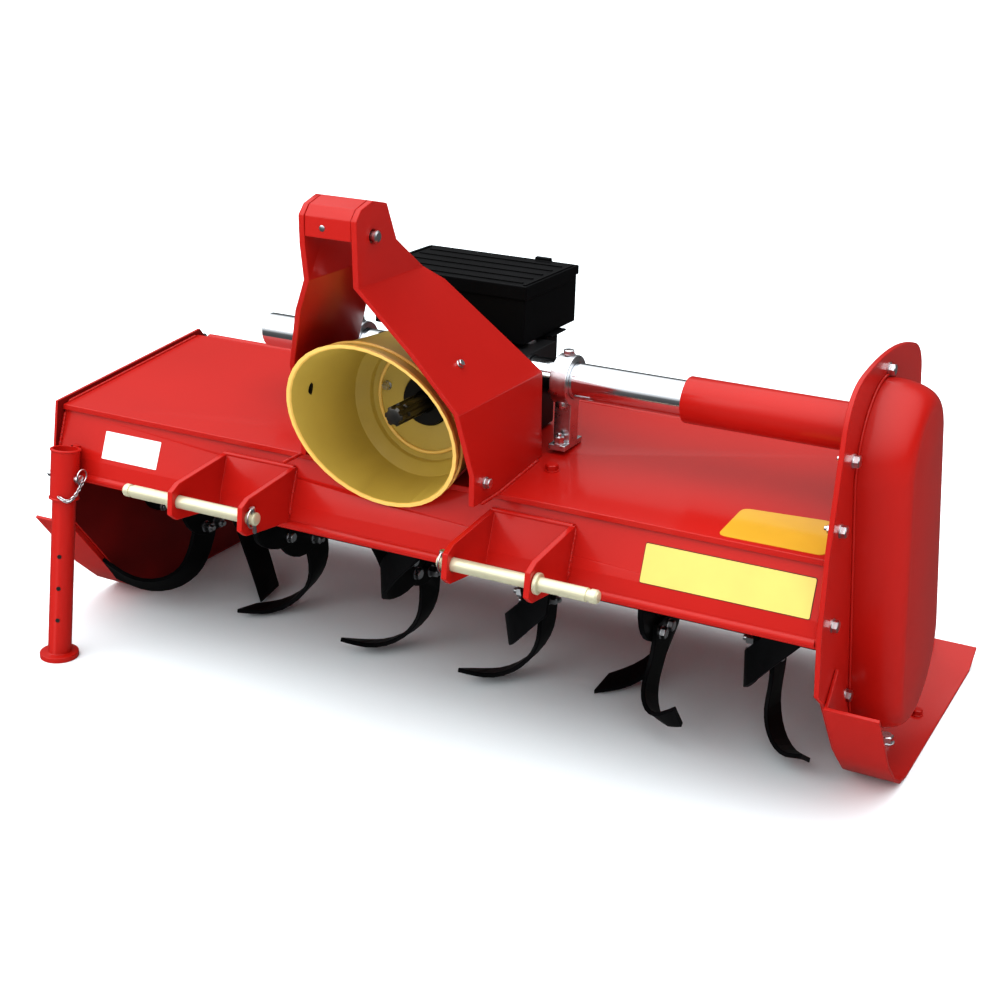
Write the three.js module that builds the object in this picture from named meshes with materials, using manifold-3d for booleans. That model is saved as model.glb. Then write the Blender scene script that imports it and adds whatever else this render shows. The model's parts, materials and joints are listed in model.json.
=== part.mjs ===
// Compact tractor-mounted rotavator: folded hood, side chain case, rotor with six blade sets,
// offset gearbox and mast clamped on a round beam, tailboard, tool box, skids and parking stand.
// Millimetres. +X runs to the chain case, +Y to the rear, +Z up. The floor is at z = 0.

import * as THREE from 'three';
import { mergeVertices } from 'three/addons/utils/BufferGeometryUtils.js';
import Module from 'manifold-3d';

const wasm = await Module();
wasm.setup();

// ---------------------------------------------------------------- driving sizes

const seatGap = 0.3;              // gap between two pieces that touch
const roundSides = 28;            // facets on a round piece

// hood
const hoodWidth = 1427;
const gearboxFromLeft = 690;      // the pto axis, measured from the left side plate
const hoodSheet = 5;
const ridgeHeight = 450;
const deckDepth = 400;
const deckRise = 41;              // the deck climbs this much to the rear
const faceTopSetback = 6;         // the front face starts this far behind the ridge
const faceStepDrop = 10;
const creaseHeight = ridgeHeight - 88;
const creaseReach = 21;           // how far the crease stands forward of the ridge
const lipHeight = ridgeHeight - 129;
const lipReach = 29;
const rearFlangeDrop = 26;

// side plates
const leftPlateThickness = 6;
const rightPlateThickness = 8;
const plateRise = 10;             // side plate edge above the deck

// rotor
const rotorSetback = 262;         // axis behind the ridge
const rotorHeight = 224;
const sweepRadius = 218.5;        // circle of the blade tips' corners
const rotorTubeRadius = 38;
const flangeRadius = 86;
const flangeThickness = 10;
const bladeThickness = 8;
const bladeWidth = 74;
const bladeReach = 104;           // sideways reach of a blade tip
const bladeBendRadius = 76;
const bladeTaper = 0.12;          // share of its width that a blade loses on the way to its tip
const bladeTrail = 54;            // how far the tip trails the root, degrees
const bladeTrailPower = 1.3;      // how much of the trail comes near the tip
const toLeft = -1;
const toRight = 1;
// each set has two pairs of opposite blades. A pair is given by the side it turns to and by
// where its first blade points, in degrees behind straight down
const bladeSets = [
  { fromLeftPlate: 118, pairs: [[toLeft, 0], [toRight, 66]] },
  { fromLeftPlate: 338, pairs: [[toLeft, 44], [toRight, 100]] },
  { fromLeftPlate: 604, pairs: [[toLeft, 30], [toRight, -60]] },
  { fromLeftPlate: 848, pairs: [[toLeft, 31], [toRight, -48]] },
  { fromLeftPlate: 1068, pairs: [[toLeft, 60], [toRight, 4]] },
  { fromLeftPlate: 1271, pairs: [[toRight, 22], [toRight, -60]] },
];

// chain case
const caseDepth = 82;
const caseTopRadius = 112;
const caseFootRadius = 128;

// beam
const beamSetback = 205;
const beamHeight = ridgeHeight + 140;
const beamRadius = 30;
const beamWall = 6;
const beamLeftReach = 376;        // left end of the beam, from the pto axis
const beamSleeveRadius = 38;
const beamSleeveLength = 312;

// gearbox and pto
const gearboxLeft = 95;
const gearboxRight = 150;
const gearboxFront = 117;
const gearboxBack = 292;
const gearboxDeckGap = 3;
const gearboxTop = ridgeHeight + 176;
const ptoHeight = ridgeHeight + 92;
const ptoRadius = 17.4;
const ptoBearingGap = 0.5;
const ptoTip = 3;                 // front end of the stub, behind the ridge
const ptoBossRadius = 42;
const guardMouthRadius = 150;
const guardBackRadius = 126;
const guardMouthY = -68;
const guardMouthLean = 19;        // the mouth's top stands forward of its foot, degrees
const guardWall = 4;
const guardBead = 4;
const guardDeckGap = 3;

// mast
const mastPlate = 10;
const mastTopHalfGap = 40;        // half the gap between the plates at the top link
const mastTop = ridgeHeight + 455;
const mastShoulder = ridgeHeight + 344;
const mastFold = ridgeHeight + 163;
const mastLeftFoot = 165;
const mastRightFoot = 190;
const topPinY = -140;
const topPinZ = ridgeHeight + 415;
const topPinRadius = 9.5;

// lower hitch
const lowerPinY = -140;
const lowerPinZ = ridgeHeight - 72;
const lowerPinRadius = 11;
const lowerPinLength = 270;
const hitchOuterX = 334;
const hitchPlateGap = 140;        // from the outer to the inner plate of a bracket
const hitchPlate = 10;

// tool box
const boxLeft = 158;
const boxWidth = 288;
const boxFront = 206;
const boxDepth = 200;
const boxFloor = ridgeHeight + 184;
const boxHeight = 84;
const boxWall = 3;
const lidHeight = 16;
const lidLip = 4;
const lidDrop = 8;

// parking stand
const standX = -648;
const standTopY = -45.97;         // the leg's axis at the top of its sleeve
const standLean = 7.6;            // the leg leans back from its foot, degrees
const standLegRadius = 21;
const standSleeveRadius = 25.5;
const standSleeveTop = ridgeHeight - 60;
const standSleeveFoot = ridgeHeight - 152;
const standLegTop = ridgeHeight - 70;
const standFootRadius = 35;
const standFootHeight = 10;

// skids
const skidWidth = 86;
const skidPlate = 6;
const skidNose = 208;             // height of the upturned front end
const skidFlat = 250;             // where the sole meets the floor, behind the ridge
const skidBack = 700;
const skidTail = 745;
const skidTailRise = 28;
const skidFlange = 62;

// tailboard and its stay
const tailHingeY = deckDepth + 28;
const tailHingeZ = ridgeHeight + deckRise - 15;
const tailRodRadius = 6;
const tailKnuckleBore = 7.2;
const tailKnuckleRadius = 11;
const tailLength = 452;
const tailAngle = 58;             // below the horizontal, degrees
const tailSheet = 4;
const tailSideGap = 7;
const stayX = -40;
const stayAlong = 236;            // lug place along the tailboard
const stayStandoff = 30;
const stayRodRadius = 6;
const lugPinRadius = 5;
const stayPivotY = tailHingeY + 14;
const stayPivotZ = tailHingeZ + 86;
const stayOver = 34;              // rod above the swivel at rest
const swivelSize = 28;
const swivelWidth = 24;
const swivelBore = 9.5;

// ---------------------------------------------------------------- shared places

const leftX = -gearboxFromLeft;
const rightX = leftX + hoodWidth;
const leftPlateX = leftX - seatGap - leftPlateThickness;
const rightPlateX = rightX + seatGap;
const caseX = rightPlateX + rightPlateThickness;
const deckSlope = deckRise / deckDepth;

const deckZ = (y) => ridgeHeight + y * deckSlope;
const gearboxFloor = deckZ(gearboxBack) + gearboxDeckGap;

// the guard's outside, from its mouth to its back: radius, y and lean of each hoop
const guardBackY = gearboxFront - seatGap;
const guardStepY = guardBackY - 26;
const guardSkin = [
  [guardMouthRadius + guardBead, guardMouthY, guardMouthLean],
  [guardMouthRadius + guardBead, guardMouthY + 7, guardMouthLean],
  [guardMouthRadius, guardMouthY + 9, guardMouthLean],
  [guardBackRadius + guardWall, guardStepY, 0],
  [guardBackRadius - 16, guardBackY - 8, 0],
  [guardBackRadius - 16, guardBackY, 0],
];

// front surface of the hood's face at height z
function faceY(z) {
  const topZ = ridgeHeight - faceStepDrop;
  if (z >= creaseHeight) {
    const part = (topZ - z) / (topZ - creaseHeight);
    return faceTopSetback + part * (-creaseReach - faceTopSetback);
  }
  const part = (creaseHeight - z) / (creaseHeight - lipHeight);
  return -creaseReach - part * (lipReach - creaseReach);
}

// ---------------------------------------------------------------- shape helpers

const toYZ = new THREE.Matrix4().set(0, 0, 1, 0, 1, 0, 0, 0, 0, 1, 0, 0, 0, 0, 0, 1);
const toXZ = new THREE.Matrix4().set(1, 0, 0, 0, 0, 0, -1, 0, 0, 1, 0, 0, 0, 0, 0, 1);

const shapeOf = (points) => new THREE.Shape(points.map(([a, b]) => new THREE.Vector2(a, b)));

function extrude(outline, depth) {
  const shape = Array.isArray(outline) ? shapeOf(outline) : outline;
  return new THREE.ExtrudeGeometry(shape, { depth, bevelEnabled: false, curveSegments: 8 });
}

// a plate in the YZ plane that runs along X
function plateYZ(outline, x0, x1) {
  return extrude(outline, x1 - x0).applyMatrix4(toYZ).translate(x0, 0, 0);
}

// a plate in the XZ plane that runs along Y
function plateXZ(outline, y0, y1) {
  return extrude(outline, y1 - y0).applyMatrix4(toXZ).translate(0, y1, 0);
}

function block(x0, x1, y0, y1, z0, z1) {
  const box = new THREE.BoxGeometry(x1 - x0, y1 - y0, z1 - z0);
  return box.translate((x0 + x1) / 2, (y0 + y1) / 2, (z0 + z1) / 2);
}

function cylinder(axis, radius, from, to, sides = roundSides) {
  const rod = new THREE.CylinderGeometry(radius, radius, to - from, sides);
  rod.translate(0, (from + to) / 2, 0);
  if (axis === 'x') rod.rotateZ(-Math.PI / 2);
  if (axis === 'z') rod.rotateX(Math.PI / 2);
  return rod;
}

// a solid of revolution about Y from [radius, y] points
function turnedY(points, sides = roundSides) {
  const profile = points.map(([r, y]) => new THREE.Vector2(r, y));
  return new THREE.LatheGeometry(profile, sides);
}

// hoops about Y from [radius, y, lean] rows: a lean in degrees carries a hoop's top forward.
// The last hoop joins the first where ring is set, and both ends are closed where it isn't
function hoops(rows, ring, sides = 40) {
  const positions = rows.flatMap(([radius, y, lean]) => {
    const tilt = THREE.MathUtils.degToRad(lean);
    return Array.from({ length: sides }, (_, i) => {
      const a = (i / sides) * 2 * Math.PI;
      const rise = radius * Math.sin(a);
      return [radius * Math.cos(a), y - rise * Math.sin(tilt), rise * Math.cos(tilt)];
    }).flat();
  });
  const index = [];
  for (let row = 0; row < (ring ? rows.length : rows.length - 1); row++) {
    const here = row * sides;
    const there = ((row + 1) % rows.length) * sides;
    for (let i = 0; i < sides; i++) {
      const j = (i + 1) % sides;
      index.push(here + i, there + i, there + j, here + i, there + j, here + j);
    }
  }
  const last = (rows.length - 1) * sides;
  for (let i = 1; !ring && i + 1 < sides; i++) index.push(0, i, i + 1, last, last + i + 1, last + i);
  const shell = new THREE.BufferGeometry();
  shell.setAttribute('position', new THREE.Float32BufferAttribute(positions, 3));
  shell.setIndex(index);
  return shell;
}

// a strip of even thickness below a line of [y, z] points
function strip(line, thickness) {
  const under = line.map((point, i) => {
    const before = line[Math.max(i - 1, 0)];
    const after = line[Math.min(i + 1, line.length - 1)];
    const run = Math.hypot(after[0] - before[0], after[1] - before[1]);
    const side = [(after[1] - before[1]) / run, -(after[0] - before[0]) / run];
    return [point[0] + side[0] * thickness, point[1] + side[1] * thickness];
  });
  return [...line, ...under.reverse()];
}

function solid(geometry) {
  const bare = geometry.clone();
  for (const name of ['normal', 'uv', 'uv1']) bare.deleteAttribute(name);
  const merged = mergeVertices(bare, 1e-4);
  const mesh = new wasm.Mesh({
    numProp: 3,
    vertProperties: new Float32Array(merged.attributes.position.array),
    triVerts: new Uint32Array(merged.index.array),
  });
  mesh.merge();
  return new wasm.Manifold(mesh);
}

function geometryOf(body) {
  const mesh = body.getMesh();
  const geometry = new THREE.BufferGeometry();
  geometry.setAttribute('position', new THREE.BufferAttribute(new Float32Array(mesh.vertProperties), 3));
  geometry.setIndex(new THREE.BufferAttribute(new Uint32Array(mesh.triVerts), 1));
  geometry.computeVertexNormals();
  return geometry;
}

const join = (...parts) => geometryOf(wasm.Manifold.union(parts.map(solid)));

function cut(base, ...tools) {
  return geometryOf(wasm.Manifold.difference([solid(base), ...tools.map(solid)]));
}

const common = (a, b) => geometryOf(wasm.Manifold.intersection([solid(a), solid(b)]));

const at = (geometry, x, y, z) => geometry.clone().translate(x, y, z);

// ---------------------------------------------------------------- colours

const paints = {
  red: { color: 0xc8201f, roughness: 0.35, metalness: 0.1 },
  black: { color: 0x121416, roughness: 0.5, metalness: 0.1 },
  yellow: { color: 0xa98a2e, roughness: 0.55, metalness: 0 },
  chrome: { color: 0xc9d0d4, roughness: 0.15, metalness: 1 },
  zinc: { color: 0xd8d4a8, roughness: 0.35, metalness: 0.8 },
  plastic: { color: 0x1a1d1f, roughness: 0.6, metalness: 0 },
  steel: { color: 0x55585a, roughness: 0.4, metalness: 0.9 },
};

const machine = new THREE.Group();

function add(parent, name, geometry, paint) {
  const piece = new THREE.Mesh(geometry, new THREE.MeshStandardMaterial(paints[paint]));
  piece.name = name;
  parent.add(piece);
  return piece;
}

// ---------------------------------------------------------------- hood and side plates

function hoodDeck() {
  const faceTop = ridgeHeight - faceStepDrop;
  const rearZ = deckZ(deckDepth);
  const outline = [
    [-lipReach, lipHeight],
    [-creaseReach, creaseHeight],
    [faceTopSetback, faceTop],
    [0, faceTop],
    [0, ridgeHeight],
    [deckDepth, rearZ],
    [deckDepth + 4, rearZ - rearFlangeDrop],
    [deckDepth + 4 - hoodSheet, rearZ - rearFlangeDrop],
    [deckDepth - hoodSheet, rearZ - hoodSheet],
    [faceTopSetback + hoodSheet, deckZ(faceTopSetback) - faceStepDrop],
    [-creaseReach + hoodSheet, creaseHeight],
    [-lipReach + hoodSheet, lipHeight],
  ];
  const room = [
    ...guardSkin.map(([radius, y, lean]) => [radius + guardDeckGap, y, lean]),
    [guardBackRadius - 16 + guardDeckGap, guardBackY + guardDeckGap, 0],
  ];
  return cut(plateYZ(outline, leftX, rightX), hoops(room, false).translate(0, 0, ptoHeight));
}

// the skids and the feet of both side plates follow this line, front to rear
const soleLine = [
  [12, skidNose],
  [60, 148],
  [112, 84],
  [170, 32],
  [210, 9],
  [skidFlat, 0],
  [skidBack, 0],
  [skidTail, skidTailRise],
];

const footLift = skidPlate + seatGap;

function plateFoot(rear) {
  const rise = soleLine.slice(0, 6).map(([y, z]) => [y + footLift * 0.7, z + footLift]);
  return [[rear, footLift], ...rise.reverse()];
}

// the slanting rear edge that both side plates share
const plateRear = [
  [deckDepth + 70, ridgeHeight - 20],
  [deckDepth + 160, 210],
  [deckDepth + 200, 80],
];

function leftEndPlate() {
  const outline = [
    [-12, deckZ(-12) + plateRise],
    [deckDepth + 8, deckZ(deckDepth) + plateRise],
    ...plateRear,
    ...plateFoot(plateRear.at(-1)[0]),
    [-34, lipHeight - 59],
    [-34, lipHeight],
  ];
  return plateYZ(outline, leftPlateX, leftPlateX + leftPlateThickness);
}

function rightSidePlate() {
  const shape = new THREE.Shape();
  const crown = beamHeight + 125;
  const backCorner = deckDepth + 2;
  shape.moveTo(-20, lipHeight - 81);
  shape.lineTo(-38, creaseHeight - 21);
  shape.lineTo(-40, ridgeHeight + 18);
  shape.lineTo(-14, crown - 65);
  shape.quadraticCurveTo(-2, crown - 9, 60, crown);
  shape.quadraticCurveTo(beamSetback - 5, crown + 21, backCorner - 72, crown - 12);
  shape.quadraticCurveTo(backCorner - 10, crown - 27, backCorner, crown - 79);
  for (const [y, z] of plateRear) shape.lineTo(y, z);
  for (const [y, z] of plateFoot(plateRear.at(-1)[0])) shape.lineTo(y, z);
  const plate = plateYZ(shape, rightPlateX, caseX);
  const rotorHole = cylinder('x', rotorTubeRadius + 6, rightPlateX - 2, caseX + 2);
  const bore = at(rotorHole, 0, rotorSetback, rotorHeight);
  return cut(plate, bore);
}

// outline round two circles joined by their outer tangents
function beltOutline([y1, z1], r1, [y2, z2], r2) {
  const run = Math.hypot(y2 - y1, z2 - z1);
  const heading = Math.atan2(z2 - z1, y2 - y1);
  const lean = Math.acos((r1 - r2) / run);
  const outline = [];
  const steps = 14;
  for (let i = 0; i <= steps; i++) {
    const a = heading + lean + (i / steps) * (2 * Math.PI - 2 * lean);
    outline.push([y1 + r1 * Math.cos(a), z1 + r1 * Math.sin(a)]);
  }
  for (let i = 0; i <= steps; i++) {
    const a = heading - lean + (i / steps) * (2 * lean);
    outline.push([y2 + r2 * Math.cos(a), z2 + r2 * Math.sin(a)]);
  }
  return outline;
}

const caseTopCentre = [beamSetback - 40, beamHeight - 16];
const caseFootCentre = [rotorSetback + 20, rotorHeight - 22];

// the bulged cover: slices of the same outline that shrink towards the outer face
function chainCaseCover() {
  const rings = [
    [0, 0],
    [0.5, 2],
    [0.76, 8],
    [0.92, 20],
    [1, 38],
  ];
  const loops = rings.map(([out, inset]) => {
    const loop = beltOutline(caseTopCentre, caseTopRadius - inset, caseFootCentre, caseFootRadius - inset);
    return loop.map(([y, z]) => [caseX + seatGap + out * caseDepth, y, z]);
  });
  const count = loops[0].length;
  const positions = loops.flat(2);
  const index = [];
  for (let ring = 0; ring + 1 < loops.length; ring++) {
    for (let i = 0; i < count; i++) {
      const a = ring * count + i;
      const b = ring * count + ((i + 1) % count);
      index.push(a, b, b + count, a, b + count, a + count);
    }
  }
  const flat = THREE.ShapeUtils.triangulateShape(
    loops[0].map(([, y, z]) => new THREE.Vector2(y, z)), []);
  const last = (loops.length - 1) * count;
  for (const [a, b, c] of flat) {
    index.push(a, c, b);
    index.push(last + a, last + b, last + c);
  }
  const cover = new THREE.BufferGeometry();
  cover.setAttribute('position', new THREE.Float32BufferAttribute(positions, 3));
  cover.setIndex(index);
  return cover;
}

function skid(plateOuterX, outward) {
  const soleInner = plateOuterX;
  const soleOuter = plateOuterX + outward * skidWidth;
  const line = soleLine.map(([y, z]) => [y, z + skidPlate]);
  const [soleX0, soleX1] = [soleInner, soleOuter].sort((a, b) => a - b);
  const sole = plateYZ(strip(line, skidPlate), soleX0, soleX1);
  const rise = soleLine.slice(0, 7);
  const outline = [
    ...rise.map(([y, z]) => [y + 1, z + 1]),
    ...rise.map(([y, z]) => [y + skidFlange * 0.7, z + skidFlange * 0.8]).reverse(),
  ];
  const wallInner = plateOuterX;
  const wallOuter = plateOuterX + outward * skidPlate;
  const wall = plateYZ(outline, Math.min(wallInner, wallOuter), Math.max(wallInner, wallOuter));
  return join(sole, wall);
}

add(machine, 'hood_deck', hoodDeck(), 'red');
add(machine, 'left_end_plate', leftEndPlate(), 'red');
add(machine, 'right_side_plate', rightSidePlate(), 'red');
add(machine, 'left_skid', skid(leftPlateX - seatGap, -1), 'red');
add(machine, 'right_skid', skid(caseX + seatGap, 1), 'red');
const skidClear = block(caseX - 1, caseX + skidPlate + 2 * seatGap, -60, 760, -1, skidFlange * 0.8 + 12);
add(machine, 'chain_case_cover', cut(chainCaseCover(), skidClear), 'red');

// ---------------------------------------------------------------- beam, clamps and gearbox

const beam = new THREE.Group();
beam.position.set(0, beamSetback, beamHeight);
machine.add(beam);

const sleeveStart = rightX - beamSleeveLength;

const beamTube = cut(
  cylinder('x', beamRadius, -beamLeftReach, rightX - seatGap),
  cylinder('x', beamRadius - beamWall, -beamLeftReach - 1, rightX - seatGap + 1),
);
add(beam, 'beam_tube', beamTube, 'chrome');

const sleeve = cut(
  cylinder('x', beamSleeveRadius, sleeveStart, rightX - seatGap),
  cylinder('x', beamRadius + seatGap, sleeveStart - 1, rightX + 1),
);
add(beam, 'beam_sleeve', sleeve, 'red');

const clampWidth = 30;
const clampRadius = beamRadius + 12;

// a ring round the beam with a leg that stands on the deck
function beamClamp() {
  const legTop = -beamRadius;
  const legFoot = deckZ(beamSetback) - beamHeight + 4;
  const ring = cylinder('x', clampRadius, 0, clampWidth);
  const leg = block(0, clampWidth, -16, 16, legFoot, legTop);
  const foot = block(0, clampWidth, -34, 34, legFoot, legFoot + 10);
  const bore = cylinder('x', beamRadius + seatGap, -1, clampWidth + 1);
  return cut(join(ring, leg, foot), bore);
}

const rightClamp = add(beam, 'right_beam_clamp', beamClamp(), 'steel');
rightClamp.position.x = mastRightFoot + mastPlate / 2 + 4;
const leftClamp = add(beam, 'left_beam_clamp', beamClamp(), 'steel');
leftClamp.position.x = -mastLeftFoot - mastPlate / 2 - 4 - clampWidth;

function gearbox() {
  const body = block(-gearboxLeft, gearboxRight, gearboxFront, gearboxBack, gearboxFloor, gearboxTop);
  const cheekBack = 142;
  const leftCheek = block(
    -mastLeftFoot + mastPlate / 2 + seatGap, -gearboxLeft + 1,
    gearboxFront, cheekBack, gearboxFloor, mastFold - 12);
  const rightCheek = block(
    gearboxRight - 1, mastRightFoot - mastPlate / 2 - seatGap,
    gearboxFront, cheekBack, gearboxFloor, mastFold - 12);
  const bore = at(cylinder('x', beamRadius + seatGap, -400, 400), 0, beamSetback, beamHeight);
  const shaftHole = cylinder('y', ptoRadius + ptoBearingGap, gearboxFront - 60, gearboxFront + 40);
  const shaftBore = at(shaftHole, 0, 0, ptoHeight);
  const boss = at(cylinder('y', ptoBossRadius, gearboxFront - 12, gearboxFront + 5), 0, 0, ptoHeight);
  return cut(join(body, leftCheek, rightCheek, boss), bore, shaftBore);
}

add(machine, 'gearbox', gearbox(), 'black');

const pto = new THREE.Group();
pto.position.set(0, 0, ptoHeight);
machine.add(pto);

// six-spline stub: a core with six ribs
function ptoStub() {
  const shape = new THREE.Shape();
  const root = ptoRadius - 2.6;
  const teeth = 6;
  for (let i = 0; i < teeth; i++) {
    const a = (i / teeth) * 2 * Math.PI;
    for (const [r, turn] of [[root, -0.34], [ptoRadius, -0.26], [ptoRadius, 0.26], [root, 0.34]]) {
      const point = [r * Math.cos(a + turn), r * Math.sin(a + turn)];
      if (i === 0 && turn === -0.34) shape.moveTo(...point);
      else shape.lineTo(...point);
    }
  }
  shape.closePath();
  return plateXZ(shape, ptoTip, gearboxFront + 39);
}

add(pto, 'pto_stub', ptoStub(), 'steel');

// bell-shaped guard: beaded mouth that leans, tapering skirt, back wall with the shaft's opening
function ptoGuard() {
  const holeRadius = ptoBossRadius + 2;
  const lining = [
    [holeRadius, guardBackY, 0],
    [holeRadius, guardBackY - guardWall, 0],
    [guardBackRadius - 22, guardBackY - guardWall, 0],
    [guardBackRadius - 20, guardBackY - 12, 0],
    [guardBackRadius, guardStepY - 2, 0],
    [guardMouthRadius - guardWall, guardMouthY + 3, guardMouthLean],
    [guardMouthRadius - guardWall + 2, guardMouthY, guardMouthLean],
  ];
  return hoops([...guardSkin, ...lining], true);
}

add(pto, 'pto_guard', ptoGuard(), 'yellow');

// ---------------------------------------------------------------- mast

// cross-section of one folded mast plate: upright at the foot, leaning in, upright at the top
function mastSection(footX, side) {
  const half = mastPlate / 2;
  const topX = mastTopHalfGap + half;
  const line = [
    [footX, deckZ(0) - 60],
    [footX, mastFold],
    [topX, mastShoulder],
    [topX, mastTop + 40],
  ];
  const outer = line.map(([x, z]) => [side * (x + half), z]);
  const inner = line.map(([x, z]) => [side * (x - half), z]).reverse();
  return [...outer, ...inner];
}

function mastCrown() {
  return [
    [topPinY - 46, mastTop - 12],
    [topPinY - 32, mastTop + 3],
    [topPinY, mastTop + 12],
    [topPinY + 40, mastTop + 3],
  ];
}

function mastPlateOf(footX, side, front, rear) {
  const footLiftZ = seatGap + 0.5;
  const outline = [
    ...front,
    ...mastCrown(),
    ...rear,
    [rear.at(-1)[0] + 6, deckZ(rear.at(-1)[0] + 6) + footLiftZ],
    [0, deckZ(0) + footLiftZ],
    [front[0][0], deckZ(0) + footLiftZ],
  ];
  const sheet = plateXZ(mastSection(footX, side), -300, 300);
  const limit = plateYZ(outline, -300, 300);
  const pinHole = at(cylinder('x', topPinRadius + seatGap, -300, 300), 0, topPinY, topPinZ);
  return cut(common(sheet, limit), pinHole);
}

const mastFootTop = ridgeHeight + 70;
const leftFront = [
  [-10, mastFootTop],
  [-40, mastFold],
  [-140, mastShoulder - 59],
  [topPinY - 34, mastShoulder],
  [topPinY - 44, mastShoulder + 56],
];
const rightFront = [
  [-80, mastFootTop - 20],
  [-134, mastFold],
  [-150, mastShoulder - 94],
  [topPinY - 40, mastShoulder],
];
const leftRear = [
  [-40, mastShoulder + 56],
  [40, mastShoulder - 29],
  [157, mastFold],
  [160, mastFootTop],
];
const rightRear = [
  [-72, mastShoulder + 56],
  [44, mastShoulder - 24],
  [148, mastFold],
  [152, mastFootTop],
];

add(machine, 'mast_left_plate', mastPlateOf(mastLeftFoot, -1, leftFront, leftRear), 'red');
add(machine, 'mast_right_plate', mastPlateOf(mastRightFoot, 1, rightFront, rightRear), 'red');

function mastCap() {
  const top = mastCrown();
  const line = [[topPinY - 46, topPinZ - 3], ...top];
  const half = mastTopHalfGap - seatGap;
  return plateYZ(strip(line, 7), -half, half);
}

add(machine, 'mast_cap', mastCap(), 'red');

function topLinkPin() {
  const reach = mastTopHalfGap + mastPlate + 12;
  const rod = at(cylinder('x', topPinRadius, -reach, reach), 0, topPinY, topPinZ);
  const head = at(cylinder('x', 15, reach, reach + 8), 0, topPinY, topPinZ);
  return join(rod, head);
}

add(machine, 'top_link_pin', topLinkPin(), 'zinc');

// ---------------------------------------------------------------- lower hitch brackets

// two eye plates joined by a web that lies along the hood's face
function hitchBracket() {
  const topZ = ridgeHeight - 26;
  const footZ = creaseHeight - 22;
  const plate = [
    [faceY(topZ) - seatGap, topZ],
    [lowerPinY + 2, lowerPinZ + 32],
    [lowerPinY - 18, lowerPinZ + 22],
    [lowerPinY - 22, lowerPinZ - 18],
    [lowerPinY - 8, lowerPinZ - 30],
    [faceY(footZ) - 62, footZ],
    [faceY(footZ - 6) - seatGap, footZ - 6],
    [faceY(creaseHeight) - seatGap, creaseHeight],
  ];
  const web = [
    [faceY(topZ) - seatGap, topZ],
    [faceY(topZ) - 7, topZ],
    [faceY(creaseHeight) - 7, creaseHeight],
    [faceY(footZ) - 7, footZ],
    [faceY(footZ) - seatGap, footZ],
    [faceY(creaseHeight) - seatGap, creaseHeight],
  ];
  const inner = plateYZ(plate, 0, hitchPlate);
  const outer = plateYZ(plate, hitchPlateGap, hitchPlateGap + hitchPlate);
  const back = plateYZ(web, 0, hitchPlateGap + hitchPlate);
  const pinHole = cylinder('x', lowerPinRadius + seatGap, -1, hitchPlateGap + hitchPlate + 1);
  const hole = at(pinHole, 0, lowerPinY, lowerPinZ);
  return cut(join(inner, outer, back), hole);
}

// a plain pin with a collar that bears on the outer plate
function lowerPin() {
  const start = -16;
  const rod = cylinder('x', lowerPinRadius, start, start + lowerPinLength);
  const collarX = hitchPlateGap + hitchPlate + seatGap;
  const collar = cylinder('x', lowerPinRadius + 6, collarX, collarX + 7);
  return join(rod, collar);
}

const hitchInnerX = hitchOuterX - hitchPlateGap - hitchPlate;
const rightBracket = add(machine, 'right_hitch_bracket', hitchBracket(), 'red');
rightBracket.position.x = hitchInnerX;
const leftBracket = add(machine, 'left_hitch_bracket', hitchBracket(), 'red');
leftBracket.position.x = -hitchOuterX;

const rightPin = add(machine, 'right_lower_pin', lowerPin(), 'zinc');
rightPin.position.set(hitchInnerX, lowerPinY, lowerPinZ);
const leftPin = add(machine, 'left_lower_pin', lowerPin(), 'zinc');
leftPin.position.set(-hitchInnerX, lowerPinY, lowerPinZ);
leftPin.rotation.z = Math.PI;

// ---------------------------------------------------------------- tool box

const boxRight = boxLeft - boxWidth;
const boxX0 = -boxLeft;
const boxX1 = -boxRight;
const boxBack = boxFront + boxDepth;

add(machine, 'tool_box_pedestal', join(
  block(62, 131, gearboxBack + seatGap, gearboxBack + 44, boxFloor - 68, boxFloor - seatGap),
  block(40, 140, gearboxBack + seatGap, gearboxBack + 60, boxFloor - seatGap - 4, boxFloor - seatGap),
), 'plastic');

add(machine, 'tool_box', cut(
  block(boxX0, boxX1, boxFront, boxBack, boxFloor, boxFloor + boxHeight),
  block(boxX0 + boxWall, boxX1 - boxWall, boxFront + boxWall, boxBack - boxWall,
    boxFloor + boxWall, boxFloor + boxHeight + 1),
), 'plastic');

// a shallow cap whose lip hangs outside the box, short of the hinge at the rear edge
function toolBoxLid() {
  const z0 = boxFloor + boxHeight + seatGap;
  const lipGap = 0.6;
  const lipBack = boxBack - 24;
  const top = block(boxX0 - lidLip, boxX1 + lidLip, boxFront - lidLip, boxBack, z0, z0 + lidHeight);
  const skirt = block(boxX0 - lidLip, boxX1 + lidLip, boxFront - lidLip, lipBack, z0 - lidDrop, z0 + 1);
  const skirtRoom = block(
    boxX0 - lipGap, boxX1 + lipGap, boxFront - lipGap, boxBack + 1, z0 - lidDrop - 1, z0);
  const under = block(
    boxX0 + boxWall, boxX1 - boxWall, boxFront + boxWall, boxBack - boxWall,
    z0 - 1, z0 + lidHeight - boxWall);
  const tab = block(boxX1 - 78, boxX1 - 48, boxBack - 10, boxBack, z0 + lidHeight - 1, z0 + lidHeight + 6);
  return cut(join(top, skirt, tab), skirtRoom, under);
}

add(machine, 'tool_box_lid', toolBoxLid(), 'plastic');

// ---------------------------------------------------------------- parking stand

const standTilt = THREE.MathUtils.degToRad(standLean);
const standFootY = standTopY - Math.tan(standTilt) * standSleeveTop;
const stand = new THREE.Group();
stand.position.set(standX, standFootY, 0);
stand.rotation.x = -standTilt;
machine.add(stand);

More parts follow.
